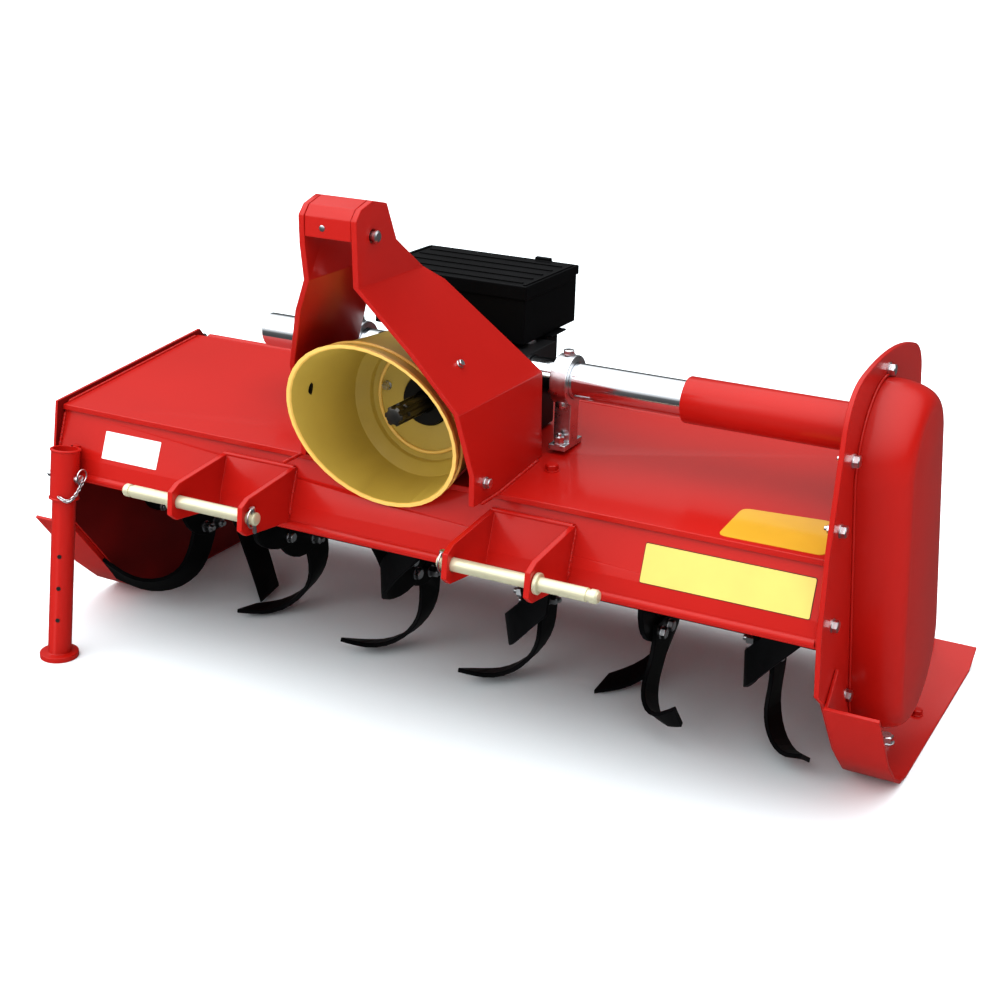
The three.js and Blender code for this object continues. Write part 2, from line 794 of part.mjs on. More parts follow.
// the sleeve is drawn along the leg, and its web reaches back to the hood's sloping face
function standSleeve() {
  const tube = cylinder('z', standSleeveRadius, standSleeveFoot, standSleeveTop);
  const webFoot = creaseHeight - 24;
  const webTop = ridgeHeight - 66;
  const web = plateYZ([
    [-80, webFoot],
    [faceY(webFoot) - seatGap, webFoot],
    [faceY(creaseHeight) - seatGap, creaseHeight],
    [faceY(webTop) - seatGap, webTop],
    [-60, webTop],
  ], -6, 6).translate(0, -standFootY, 0).rotateX(standTilt);
  const front = block(-10, 10, -120, 0, 0, 600);
  const bore = cylinder('z', standLegRadius + 0.8, standSleeveFoot - 1, standSleeveTop + 1);
  return cut(join(tube, cut(web, front)), bore);
}

add(stand, 'stand_sleeve', standSleeve(), 'red');

// the foot disc is level, whatever the leg's lean
function standLeg() {
  const leg = cylinder('z', standLegRadius, 6, standLegTop);
  const disc = cylinder('z', standFootRadius, 0, standFootHeight).rotateX(standTilt);
  return join(leg, disc);
}

add(stand, 'stand_leg', standLeg(), 'red');

// ---------------------------------------------------------------- rotor

const rotor = new THREE.Group();
rotor.position.set(0, rotorSetback, rotorHeight);
machine.add(rotor);

const rotorEndGap = 14;
const rotorLeft = leftX + rotorEndGap;
const rotorRight = rightX - rotorEndGap;
const bearingShaft = 20;
const bladeRootGap = 6;
const shankSteps = 5;
const bendSteps = 8;
const tipSteps = 3;
const bladeBend = THREE.MathUtils.degToRad(85);
const xAxis = new THREE.Vector3(1, 0, 0);

add(rotor, 'rotor_tube', join(
  cylinder('x', rotorTubeRadius, rotorLeft, rotorRight),
  cylinder('x', bearingShaft, leftX + 2, rotorLeft + 20),
  cylinder('x', bearingShaft, rotorRight - 20, rightX + 6),
), 'black');

// one blade: a strap that stands on its flange, bends sideways into a tip and trails its root
function blade(side) {
  const tipHalf = (bladeWidth / 2) * (1 - bladeTaper);
  const outer = Math.sqrt(sweepRadius ** 2 - tipHalf ** 2);
  const root = rotorTubeRadius + bladeRootGap;
  const shankTop = outer - bladeBendRadius;
  const path = [];
  for (let i = 0; i < shankSteps; i++) path.push([0, root + (i / shankSteps) * (shankTop - root)]);
  for (let i = 0; i <= bendSteps; i++) {
    const a = (i / bendSteps) * bladeBend;
    path.push([bladeBendRadius * (1 - Math.cos(a)), shankTop + bladeBendRadius * Math.sin(a)]);
  }
  const [bendX, bendR] = path[path.length - 1];
  for (let i = 1; i <= tipSteps; i++) {
    const share = i / tipSteps;
    path.push([bendX + share * (bladeReach - bendX), bendR + share * (outer - bendR)]);
  }
  const runs = [0];
  for (let i = 1; i < path.length; i++) {
    runs.push(runs[i - 1] + Math.hypot(path[i][0] - path[i - 1][0], path[i][1] - path[i - 1][1]));
  }
  const corners = path.flatMap(([x, r], i) => {
    const before = path[Math.max(i - 1, 0)];
    const after = path[Math.min(i + 1, path.length - 1)];
    const step = Math.hypot(after[0] - before[0], after[1] - before[1]);
    const backX = x + ((after[1] - before[1]) / step) * bladeThickness;
    const backR = r - ((after[0] - before[0]) / step) * bladeThickness;
    const share = runs[i] / runs[runs.length - 1];
    const half = (bladeWidth / 2) * (1 - bladeTaper * share);
    const turn = -THREE.MathUtils.degToRad(bladeTrail) * share ** bladeTrailPower;
    return [[x, -half, r], [x, half, r], [backX, half, backR], [backX, -half, backR]].map(
      ([cx, cy, cz]) => new THREE.Vector3(side * cx, cy, cz).applyAxisAngle(xAxis, turn));
  });
  const faces = [[0, 2, 1], [0, 3, 2]];
  const last = corners.length - 4;
  faces.push([last, last + 1, last + 2], [last, last + 2, last + 3]);
  for (let i = 0; i < last; i += 4) {
    for (let k = 0; k < 4; k++) {
      const next = (k + 1) % 4;
      faces.push([i + k, i + next, i + 4 + next], [i + k, i + 4 + next, i + 4 + k]);
    }
  }
  const strap = new THREE.BufferGeometry().setFromPoints(corners);
  strap.setIndex(faces.flatMap((face) => (side === toRight ? face.reverse() : face)));
  return strap;
}

function bladeSet(pairs) {
  const half = flangeThickness / 2;
  const parts = [cylinder('x', flangeRadius, -half, half)];
  for (const [side, angle] of pairs) {
    for (const turn of [angle, angle + 180]) {
      const strap = blade(side).translate(side * (half - 0.5), 0, 0);
      parts.push(strap.rotateX(THREE.MathUtils.degToRad(turn)));
    }
  }
  return cut(join(...parts), cylinder('x', rotorTubeRadius + seatGap, -half - 50, half + 50));
}

bladeSets.forEach(({ fromLeftPlate, pairs }, i) => {
  const set = add(rotor, `blade_set_${i + 1}`, bladeSet(pairs), 'black');
  set.position.x = leftX + fromLeftPlate;
});

// the bearing hubs that carry the rotor, on the side plates' inner faces
const leftHub = cut(
  cylinder('x', 58, leftX, leftX + 12),
  cylinder('x', bearingShaft + 1, leftX - 1, leftX + 30),
);
const hubs = new THREE.Group();
hubs.position.copy(rotor.position);
machine.add(hubs);
add(hubs, 'left_rotor_bearing', leftHub, 'black');

// ---------------------------------------------------------------- tailboard and its stay

const tail = new THREE.Group();
tail.position.set(0, tailHingeY, tailHingeZ);
machine.add(tail);

const tailDown = THREE.MathUtils.degToRad(-tailAngle);
const along = (a, out) => [
  a * Math.cos(tailDown) - out * Math.sin(tailDown),
  a * Math.sin(tailDown) + out * Math.cos(tailDown),
];

const tailHalfInset = tailSideGap;
const tailX0 = leftX + tailHalfInset;
const tailX1 = rightX - tailHalfInset;

function tailboard() {
  const knuckle = cylinder('x', tailKnuckleRadius, tailX0, tailX1);
  const sheet = strip([
    along(tailKnuckleRadius - 3, 4),
    along(40, 6),
    along(tailLength * 0.55, 14),
    along(tailLength - 26, 4),
    along(tailLength, 16),
  ], tailSheet);
  const lug = [
    along(stayAlong - 34, 6), along(stayAlong - 10, stayStandoff + 12),
    along(stayAlong + 10, stayStandoff + 12),
    along(stayAlong + 34, 6),
  ];
  const lugPlate = 7;
  const lugGap = 10;
  const left = plateYZ(lug, stayX - lugGap - lugPlate, stayX - lugGap);
  const right = plateYZ(lug, stayX + lugGap, stayX + lugGap + lugPlate);
  const bore = cylinder('x', tailKnuckleBore, tailX0 - 1, tailX1 + 1);
  const lugHole = cylinder('x', lugPinRadius + seatGap, stayX - 60, stayX + 60);
  const pinHole = at(lugHole, 0, ...along(stayAlong, stayStandoff));
  return cut(join(knuckle, plateYZ(sheet, tailX0, tailX1), left, right), bore, pinHole);
}

add(tail, 'tailboard', tailboard(), 'red');
add(tail, 'tailboard_hinge_rod', cylinder('x', tailRodRadius, leftX + seatGap, rightX - seatGap), 'zinc');

const lugPoint = along(stayAlong, stayStandoff);
const lugY = tailHingeY + lugPoint[0];
const lugZ = tailHingeZ + lugPoint[1];
const stayRun = Math.hypot(stayPivotY - lugY, stayPivotZ - lugZ);
const stayHeading = Math.atan2(stayPivotZ - lugZ, stayPivotY - lugY);

const stay = new THREE.Group();
stay.position.set(stayX, lugY, lugZ);
stay.rotation.x = stayHeading - Math.PI / 2;
machine.add(stay);

// drawn upright from the lug eye, then leaned to the swivel by its group
function stayRod() {
  const eye = cylinder('x', 12, -8, 8);
  const rod = cylinder('z', stayRodRadius, 6, stayRun + stayOver);
  const nutZ = stayRun + swivelSize / 2 + seatGap;
  const nut = cylinder('z', 13, nutZ, nutZ + 12, 6);
  const pin = cylinder('x', lugPinRadius, -22, 22);
  return join(eye, rod, nut, pin);
}

add(stay, 'tailboard_stay_rod', stayRod(), 'zinc');

const swivel = new THREE.Group();
swivel.position.set(stayX, stayPivotY, stayPivotZ);
swivel.rotation.x = stay.rotation.x;
machine.add(swivel);

const swivelHalf = swivelSize / 2;
const trunnionRadius = 6;
const swivelCheek = swivelWidth / 2 + 2;
const swivelPlate = 6;

add(swivel, 'tailboard_stay_swivel', cut(
  join(
    block(-swivelWidth / 2, swivelWidth / 2, -swivelHalf, swivelHalf, -swivelHalf, swivelHalf),
    cylinder('x', trunnionRadius, -swivelCheek - swivelPlate, swivelCheek + swivelPlate),
  ),
  cylinder('z', swivelBore, -swivelSize, swivelSize),
), 'steel');

function stayBracket() {
  const baseFront = deckDepth - 78;
  const baseBack = deckDepth - 8;
  const cheek = [
    [baseFront + 8, deckZ(baseFront + 8) + 6],
    [stayPivotY - 14, stayPivotZ + 12],
    [stayPivotY + 12, stayPivotZ + 14],
    [stayPivotY + 14, stayPivotZ - 10],
    [baseBack - 4, deckZ(baseBack - 4) + 6],
  ];
  const inner = swivelCheek;
  const left = plateYZ(cheek, stayX - inner - swivelPlate, stayX - inner);
  const right = plateYZ(cheek, stayX + inner, stayX + inner + swivelPlate);
  const base = plateYZ([
    [baseFront, deckZ(baseFront) + seatGap],
    [baseBack, deckZ(baseBack) + seatGap],
    [baseBack, deckZ(baseBack) + 8],
    [baseFront, deckZ(baseFront) + 8],
  ], stayX - inner - 20, stayX + inner + 20);
  const trunnionHole = cylinder('x', trunnionRadius + seatGap, stayX - 60, stayX + 60);
  const bore = at(trunnionHole, 0, stayPivotY, stayPivotZ);
  return cut(join(left, right, base), bore);
}

add(machine, 'tailboard_stay_bracket', stayBracket(), 'red');

// ---------------------------------------------------------------- rest the box's centre on the origin

machine.updateMatrixWorld(true);
const bounds = new THREE.Box3().setFromObject(machine, true);
const centre = bounds.getCenter(new THREE.Vector3());
machine.position.set(-centre.x, -centre.y, -bounds.min.z);

export default machine;
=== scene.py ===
import json
import math

import bmesh
import bpy
import numpy as np
from mathutils import Matrix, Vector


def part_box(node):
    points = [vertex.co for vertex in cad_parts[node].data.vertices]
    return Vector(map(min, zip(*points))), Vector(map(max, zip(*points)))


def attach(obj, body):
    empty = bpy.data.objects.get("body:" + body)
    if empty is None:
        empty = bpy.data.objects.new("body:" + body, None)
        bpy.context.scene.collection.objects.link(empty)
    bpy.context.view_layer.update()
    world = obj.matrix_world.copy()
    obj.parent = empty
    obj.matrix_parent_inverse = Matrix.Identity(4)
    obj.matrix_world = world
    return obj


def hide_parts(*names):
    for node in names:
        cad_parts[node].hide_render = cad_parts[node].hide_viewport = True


bl_info = {
    "name": "Rotavator finish",
    "version": (1, 0, 0),
    "blender": (4, 5, 0),
    "location": "View3D > Sidebar > Rotavator",
    "description": "Dresses the packed rotavator with finished steel, plastic and fasteners",
    "category": "Add Mesh",
}

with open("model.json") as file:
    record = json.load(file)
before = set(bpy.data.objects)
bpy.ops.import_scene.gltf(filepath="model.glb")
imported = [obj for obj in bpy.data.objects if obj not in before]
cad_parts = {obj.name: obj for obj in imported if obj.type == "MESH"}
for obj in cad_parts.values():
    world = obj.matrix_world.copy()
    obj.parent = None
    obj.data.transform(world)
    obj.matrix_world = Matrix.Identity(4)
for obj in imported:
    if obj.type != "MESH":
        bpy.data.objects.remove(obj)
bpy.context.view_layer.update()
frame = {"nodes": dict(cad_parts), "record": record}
SLOTS = {part["node"]: part["material_slot"] for part in frame["record"]["subparts"]}
BODY_OF = {node: body for body, nodes in frame["record"]["behaviour"]["bodies"].items() for node in nodes}

MM = 0.001
TURN = 2 * math.pi
LIP_REACH = 29
SHAFT_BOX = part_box("pto_stub")
HOOD_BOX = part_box("hood_deck")
DATUM = np.array([(SHAFT_BOX[0].x + SHAFT_BOX[1].x) / 2, HOOD_BOX[0].y + LIP_REACH * MM, 0.0])

# Main places of the machine, in the millimetres that place() reads
HOOD_LEFT, HOOD_RIGHT = -690.0, 737.0
SHAFT_Z = 542.0
BEAM = (0.0, 205.0, 590.0)
ROTOR = (0.0, 262.0, 224.0)
LOWER_PIN_Y, LOWER_PIN_Z = -140.0, 378.0
TOP_PIN_Y, TOP_PIN_Z = -140.0, 865.0
HINGE = (0.0, 428.0, 476.0)

RIGHT, LEFT, REAR, FRONT = (1, 0, 0), (-1, 0, 0), (0, 1, 0), (0, -1, 0)
UP = (0, 0, 1)
OFF_DECK = (0, -0.1, 1)
SEAT = -0.6          # a fastener starts this far inside the face that it stands on


# ---- places

def place(points):
    """Metres from millimetres right of the drive shaft, behind the hood's ridge and above the floor."""
    return np.asarray(points, float) * MM + DATUM


def deck_z(y):
    """Height of the deck: it climbs evenly from the ridge to the rear."""
    return 450 + 41 * np.asarray(y, float) / 400


def face_y(z):
    """Place of the hood's front face, in straight runs between its folds."""
    return np.interp(z, [321, 362, 440], [-29, -21, 6])


def millimetres(node):
    """A node's lowest and highest corners in the millimetres that place() reads."""
    low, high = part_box(node)
    return (np.array(low) - DATUM) / MM, (np.array(high) - DATUM) / MM


# ---- surfaces as arrays

def unit(vector):
    """The vector divided by its length."""
    vector = np.asarray(vector, float)
    return vector / np.linalg.norm(vector)


def side_axes(direction):
    """Two unit vectors square to a direction and to each other."""
    direction = unit(direction)
    hint = np.array([0.0, 0.0, 1.0]) if abs(direction[2]) < 0.9 else np.array([1.0, 0.0, 0.0])
    first = unit(np.cross(hint, direction))
    return first, np.cross(direction, first)


def round_angles(count):
    """Equal steps of angle once round."""
    return np.arange(count) / count * 2 * np.pi


def grid_faces(rows, columns):
    """Quads between neighbouring rows of a grid of points, closed round each row."""
    across = np.arange(columns)
    here = np.arange(rows - 1)[:, None] * columns + across
    beside = np.arange(rows - 1)[:, None] * columns + (across + 1) % columns
    quads = np.stack([here, beside, beside + columns, here + columns], -1).reshape(-1, 4)
    return [tuple(face) for face in quads]


def capped_faces(rows, columns):
    """The faces of a grid, with one face over its first row and one over its last."""
    caps = [tuple(range(columns))[::-1], tuple(range((rows - 1) * columns, rows * columns))]
    return grid_faces(rows, columns) + caps


def looped_faces(rows, columns):
    """The faces of a grid whose last row joins its first."""
    last, across = (rows - 1) * columns, np.arange(columns)
    beside = (across + 1) % columns
    seam = np.stack([last + across, last + beside, beside, across], -1)
    return grid_faces(rows, columns) + [tuple(face) for face in seam]


def rings_about(centre, direction, along, radius, angle):
    """Points at a distance along an axis and a radius from it, at each angle round it."""
    first, second = side_axes(direction)
    round_way = np.cos(angle)[:, None] * first + np.sin(angle)[:, None] * second
    points = (np.asarray(centre, float) + along[:, None, None] * unit(direction)
              + radius[:, :, None] * round_way[None])
    return points.reshape(-1, 3)


def ring_stack(centre, direction, rings, sides=24, spin=0.0):
    """Closed round or six-sided body: rings of (distance along, radius, share of hexagon) joined in order.
    A hexagon's radius at an angle is its flat distance over the cosine of the angle from a flat's middle."""
    angle = round_angles(sides)
    from_flat = (angle + np.pi / 6) % (np.pi / 3) - np.pi / 6
    along, radius, hexagon = np.array(rings, float).T
    reach = radius[:, None] * (1 - hexagon[:, None] + hexagon[:, None] / np.cos(from_flat))
    return rings_about(centre, direction, along, reach, angle + spin), capped_faces(len(along), sides)


def round_stack(centre, direction, rings, sides=24):
    """Closed round body: rings of (distance along, radius) joined in order."""
    return ring_stack(centre, direction, [(along, radius, 0) for along, radius in rings], sides)


def lathe(loop, centre, direction, sides=96):
    """Solid of revolution about an axis: a closed loop of (distance along, radius) turned once round."""
    along, radius = np.array(loop, float).T
    reach = np.broadcast_to(radius[:, None], (len(along), sides))
    points = rings_about(centre, direction, along, reach, round_angles(sides))
    return points, looped_faces(len(along), sides)


def tube(path, radius, sides=12, closed=False):
    """Round section carried along a path of points. Each ring lies square to the path, and its axes are
    the last ring's axes with their part along the path taken away."""
    path = np.asarray(path, float)
    count = len(path)
    if closed:
        tangents = np.roll(path, -1, 0) - np.roll(path, 1, 0)
    else:
        tangents = np.gradient(path, axis=0)
    tangents /= np.linalg.norm(tangents, axis=1)[:, None]
    firsts = np.empty_like(path)
    firsts[0] = side_axes(tangents[0])[0]
    for i in range(1, count):
        firsts[i] = unit(firsts[i - 1] - tangents[i] * np.dot(firsts[i - 1], tangents[i]))
    seconds = np.cross(tangents, firsts)
    angle = round_angles(sides)
    radii = np.broadcast_to(np.asarray(radius, float), (count,))
    points = path[:, None] + radii[:, None, None] * (
        np.cos(angle)[None, :, None] * firsts[:, None] + np.sin(angle)[None, :, None] * seconds[:, None])
    return points.reshape(-1, 3), (looped_faces if closed else capped_faces)(count, sides)


def slab(corners, normal, thickness):
    """Flat plate: an outline of points, and the same outline moved along the normal by the thickness."""
    base = np.asarray(corners, float)
    return np.vstack([base, base + unit(normal) * thickness]), capped_faces(2, len(base))


def arc(centre, radius, first, second, start, stop, steps):
    """Points on a circle between two angles, spanned by two unit vectors."""
    angle = np.linspace(start, stop, steps)[:, None]
    return np.asarray(centre, float) + radius * (np.cos(angle) * unit(first) + np.sin(angle) * unit(second))


def circle(centre, radius, first, second, count):
    """Points at equal steps once round a circle."""
    return arc(centre, radius, first, second, 0, TURN, count + 1)[:-1]


def rounded_outline(width, height, radius, steps):
    """Rectangle about the origin whose four corners are quarter circles, as (across, up) pairs."""
    quarter = np.linspace(0, np.pi / 2, steps)
    spots = []
    for turn, (sx, sy) in enumerate([(1, 1), (-1, 1), (-1, -1), (1, -1)]):
        angle = quarter + turn * np.pi / 2
        centre = np.array([sx * (width / 2 - radius), sy * (height / 2 - radius)])
        spots.append(centre + radius * np.stack([np.cos(angle), np.sin(angle)], -1))
    return np.vstack(spots)


def merge(*surfaces):
    """Several (points, faces) pairs as one."""
    points, faces, start = [], [], 0
    for spots, polygons in surfaces:
        points.append(spots)
        faces += [tuple(int(i) + start for i in polygon) for polygon in polygons]
        start += len(spots)
    return np.vstack(points), faces


# ---- finishes

def finish(name, colour, roughness, metallic=0.0, coat=0.0, cloud=0.06, cloud_scale=6.0,
           grain=0.0, grain_scale=400.0, rough_spread=0.06, specular=0.5, coat_rough=0.1):
    """A finish: the colour drifts a little in broad clouds, the gloss varies and a fine grain stands up."""
    found = bpy.data.materials.get(name)
    if found:
        return found
    material = bpy.data.materials.new(name)
    material.use_nodes = True
    tree = material.node_tree
    shader = tree.nodes["Principled BSDF"]
    shader.inputs["Metallic"].default_value = metallic
    shader.inputs["Coat Weight"].default_value = coat
    shader.inputs["Coat Roughness"].default_value = coat_rough
    shader.inputs["Specular IOR Level"].default_value = specular
    spot = tree.nodes.new("ShaderNodeTexCoord").outputs["Object"]

    def noise(scale, detail):
        """A noise over the piece's own places."""
        made = tree.nodes.new("ShaderNodeTexNoise")
        made.inputs["Scale"].default_value = scale
        made.inputs["Detail"].default_value = detail
        tree.links.new(spot, made.inputs["Vector"])
        return made.outputs["Fac"]

    clouds = noise(cloud_scale, 4.0)
    ramp = tree.nodes.new("ShaderNodeValToRGB")
    for stop, position, share in zip(ramp.color_ramp.elements, (0.3, 0.72), (1 - cloud, 1 + cloud)):
        stop.position = position
        stop.color = (*(min(max(c * share, 0.0), 1.0) for c in colour[:3]), 1.0)
    tree.links.new(clouds, ramp.inputs["Fac"])
    tree.links.new(ramp.outputs["Color"], shader.inputs["Base Color"])
    gloss = tree.nodes.new("ShaderNodeMapRange")
    gloss.inputs["To Min"].default_value = max(roughness - rough_spread, 0.02)
    gloss.inputs["To Max"].default_value = roughness + rough_spread
    tree.links.new(clouds, gloss.inputs["Value"])
    tree.links.new(gloss.outputs["Result"], shader.inputs["Roughness"])
    if grain:
        bump = tree.nodes.new("ShaderNodeBump")
        bump.inputs["Strength"].default_value = grain
        bump.inputs["Distance"].default_value = 0.0006
        tree.links.new(noise(grain_scale, 3.0), bump.inputs["Height"])
        tree.links.new(bump.outputs["Normal"], shader.inputs["Normal"])
    return material


def colours():
    """The colour settings."""
    return bpy.context.scene.rotavator_colours


def sizes():
    """The size settings."""
    return bpy.context.scene.rotavator_sizes


def red_paint():
    """Gloss red enamel over sheet steel, with a faint orange peel."""
    return finish("red_enamel", colours().red, 0.33, coat=0.3, cloud=0.05, cloud_scale=3.5,
                  grain=0.05, grain_scale=260, rough_spread=0.05, coat_rough=0.13, specular=0.15)


def painted_inside_shade():
    """Darker, dull red for the inside of the hood: painted shade that stands in for the shade under the hood.
    """
    return finish("painted_shade_inside_red", (0.17, 0.006, 0.005, 1), 0.6, cloud=0.3, cloud_scale=5, grain=0.1,
                  grain_scale=200, rough_spread=0.08, specular=0.1)


def iron_paint():
    """Satin black paint on cast iron."""
    return finish("satin_black", colours().black, 0.42, cloud=0.3, cloud_scale=9, grain=0.22, grain_scale=520,
                  specular=0.2)


def blade_paint():
    """Black dipping paint on forged blades, a little uneven."""
    return finish("dipped_black", colours().blade, 0.4, cloud=0.35, cloud_scale=14, grain=0.3,
                  grain_scale=240, rough_spread=0.1, specular=0.07)


def bright_tube():
    """Ground and chromed steel tube."""
    return finish("chromed_tube", colours().chrome, 0.11, metallic=1.0, cloud=0.04, cloud_scale=30,
                  grain=0.03, grain_scale=900, rough_spread=0.04)


def yellow_zinc():
    """Yellow passivated zinc on pins."""
    return finish("yellow_zinc", colours().zinc, 0.36, metallic=0.45, cloud=0.06, cloud_scale=16,
                  grain=0.03, grain_scale=500, rough_spread=0.06)


def white_zinc():
    """Bright zinc on bolts and clips."""
    return finish("bright_zinc", (0.66, 0.67, 0.69, 1), 0.29, metallic=1.0, cloud=0.12, cloud_scale=60,
                  grain=0.05, grain_scale=900, rough_spread=0.08)


def dark_steel():
    """Oiled dark steel."""
    return finish("oiled_steel", (0.09, 0.085, 0.08, 1), 0.34, metallic=0.9, cloud=0.3, cloud_scale=34,
                  grain=0.15, grain_scale=600, rough_spread=0.1)


def guard_plastic():
    """Golden yellow moulded guard."""
    return finish("guard_yellow", colours().guard, 0.42, cloud=0.06, cloud_scale=7, grain=0.12,
                  grain_scale=420, rough_spread=0.05)


def rim_plastic():
    """Paler yellow of the guard's rim and beads."""
    return finish("guard_rim", colours().guard_rim, 0.36, cloud=0.05, cloud_scale=8, grain=0.08,
                  grain_scale=420)


def black_plastic():
    """Black moulded plastic with a fine leather grain."""
    return finish("moulded_black", (0.004, 0.004, 0.0045, 1), 0.36, cloud=0.2, cloud_scale=12, grain=0.3,
                  grain_scale=950, rough_spread=0.06, specular=0.06)


SLOT_FINISHES = {
    "red_paint": red_paint,
    "black_paint": blade_paint,
    "black_iron": iron_paint,
    "dark_steel": dark_steel,
    "chromed_beam": bright_tube,
    "plated_steel": yellow_zinc,
    "yellow_plastic": guard_plastic,
    "black_plastic": black_plastic,
}


# ---- meshes

def finish_mesh(mesh, material, crease):
    """Smooth shading up to the crease angle, and one material."""
    mesh.materials.clear()
    mesh.materials.append(material)
    mesh.polygons.foreach_set("use_smooth", np.ones(len(mesh.polygons), bool))
    mesh.polygons.foreach_set("material_index", np.zeros(len(mesh.polygons), np.int32))
    mesh.set_sharp_from_angle(angle=math.radians(crease))
    mesh.update()


def show(name, mesh, body, nodes, bevel):
    """The piece in the scene, on its body, with its edges rounded and its CAD nodes hidden."""
    piece = bpy.data.objects.new(name, mesh)
    bpy.context.scene.collection.objects.link(piece)
    if bevel:
        edge = piece.modifiers.new("edge", "BEVEL")
        edge.width = bevel * MM
        edge.segments = 2
        edge.limit_method = "ANGLE"
        edge.angle_limit = math.radians(32)
        edge.use_clamp_overlap = False
        edge.harden_normals = True
    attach(piece, body)
    if nodes:
        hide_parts(*nodes)
    return piece


def build(name, surface, slot, nodes=(), crease=35, body="root", material=None, bevel=0.0):
    """A piece from (points in millimetres from the datum, faces), in its slot's finish or another."""
    points, faces = surface
    mesh = bpy.data.meshes.new(name)
    mesh.from_pydata(place(points).tolist(), [], faces)
    mesh.validate()
    solid = bmesh.new()
    solid.from_mesh(mesh)
    bmesh.ops.recalc_face_normals(solid, faces=solid.faces)
    solid.to_mesh(mesh)
    solid.free()
    finish_mesh(mesh, material or SLOT_FINISHES[slot](), crease)
    return show(name, mesh, body, nodes, bevel)


def enamelled(name, surface, crease=50, body="root"):
    """A piece in the red enamel."""
    return build(name, surface, "red_paint", (), crease, body)


def plated(name, surface, nodes=(), crease=30, body="root", slot="plated_steel"):
    """A piece in bright zinc."""
    return build(name, surface, slot, nodes, crease, body, white_zinc())


def dress(node, bevel, crease=35, material=None):
    """A finished copy of a CAD node: its loose triangles are merged, flat ones joined and edges rounded."""
    mesh = frame["nodes"][node].data.copy()
    mesh.name = node + "_finish"
    solid = bmesh.new()
    solid.from_mesh(mesh)
    bmesh.ops.remove_doubles(solid, verts=solid.verts, dist=2e-5)
    bmesh.ops.dissolve_limit(solid, angle_limit=math.radians(0.8), verts=solid.verts, edges=solid.edges)
    solid.to_mesh(mesh)
    solid.free()
    finish_mesh(mesh, material or SLOT_FINISHES[SLOTS[node]](), crease)
    return show(mesh.name, mesh, BODY_OF[node], [node], bevel)


def dress_all(nodes, bevel):
    """Finished copies of several CAD nodes in their own slots' finishes."""
    return [dress(node, bevel) for node in nodes]


def paint_inside_shade(piece, inward):
    """Painted shade: the darker inside red on the faces of a piece that look along a direction, by the cosine
    between the two.
    """
    mesh = piece.data
    mesh.materials.append(painted_inside_shade())
    normals = np.empty(len(mesh.polygons) * 3)
    mesh.polygons.foreach_get("normal", normals)
    inside = normals.reshape(-1, 3) @ unit(inward) > 0.6
    mesh.polygons.foreach_set("material_index", inside.astype(np.int32))


# ---- fasteners

def hex_bolt(spot, direction, flats=None, spin=0.0):
    """Hexagon head on a round washer, its top edge chamfered to a circle."""
    flats = flats or sizes().bolt_flats / MM
    half, washer = flats / 2, 2.0
    top = washer + flats * 0.5
    rings = [(SEAT, half * 0.9, 0), (SEAT, half * 1.3, 0), (washer - 0.4, half * 1.3, 0),
             (washer, half * 1.22, 0), (washer, half, 1), (top - half * 0.16, half, 1),
             (top, half * 0.9, 0.15), (top, half * 0.45, 0)]
    return ring_stack(spot, direction, rings, 24, spin)


def stud_nut(spot, direction, flats=None, spin=0.0):
    """Nut on a washer with the threaded end standing through it."""
    flats = flats or sizes().bolt_flats / MM
    half, washer = flats / 2, 2
    top = washer + flats * 0.75
    stud = half * 0.56
    rings = [(SEAT, half * 1.3, 0), (washer - 0.4, half * 1.3, 0), (washer, half * 1.2, 0),
             (washer, half, 1), (top - half * 0.15, half, 1), (top, half * 0.88, 0.1), (top, stud, 0),
             (top + stud * 1.1, stud, 0), (top + stud * 1.3, stud * 0.82, 0)]
    return ring_stack(spot, direction, rings, 24, spin)


def fasteners(name, spots, direction, flats=None, kind=hex_bolt, make=plated):
    """The same fastener at several places, as one piece, each turned further than the last."""
    surfaces = [kind(spot, direction, flats, spin=0.4 + 1.1 * i) for i, spot in enumerate(spots)]
    return make(name, merge(*surfaces), crease=30)


def weld(path, radius=None):
    """Weld bead: a tube along a seam whose radius rises and falls with each ripple of the run."""
    radius = radius or sizes().weld_width / MM / 2
    step, ripple = 1.6, 0.16
    path = np.asarray(path, float)
    run = np.concatenate([[0], np.cumsum(np.linalg.norm(np.diff(path, axis=0), axis=1))])
    at = np.linspace(0, run[-1], max(int(run[-1] / step), 4))
    fine = np.stack([np.interp(at, run, path[:, k]) for k in range(3)], -1)
    swell = 1 + ripple * np.sin(at * 2.1) + ripple / 2 * np.sin(at * 0.73 + path[0, 0])
    ends = np.clip(np.minimum(at, run[-1] - at) / (radius * 1.5), 0.35, 1)
    return tube(fine, radius * swell * ends, 8)


def weld_piece(name, seams):
    """Several weld beads as one red piece."""
    return enamelled(name, merge(*seams))


# ---- settings

def length(name, description, default):
    """A setting for a length in metres."""
    return bpy.props.FloatProperty(name=name, description=description, default=default, min=0.0,
                                   unit="LENGTH", subtype="DISTANCE")


def colour(name, description, red, green, blue):
    """A setting for a colour."""
    return bpy.props.FloatVectorProperty(name=name, description=description, default=(red, green, blue, 1),
                                         subtype="COLOR", size=4, min=0, max=1)


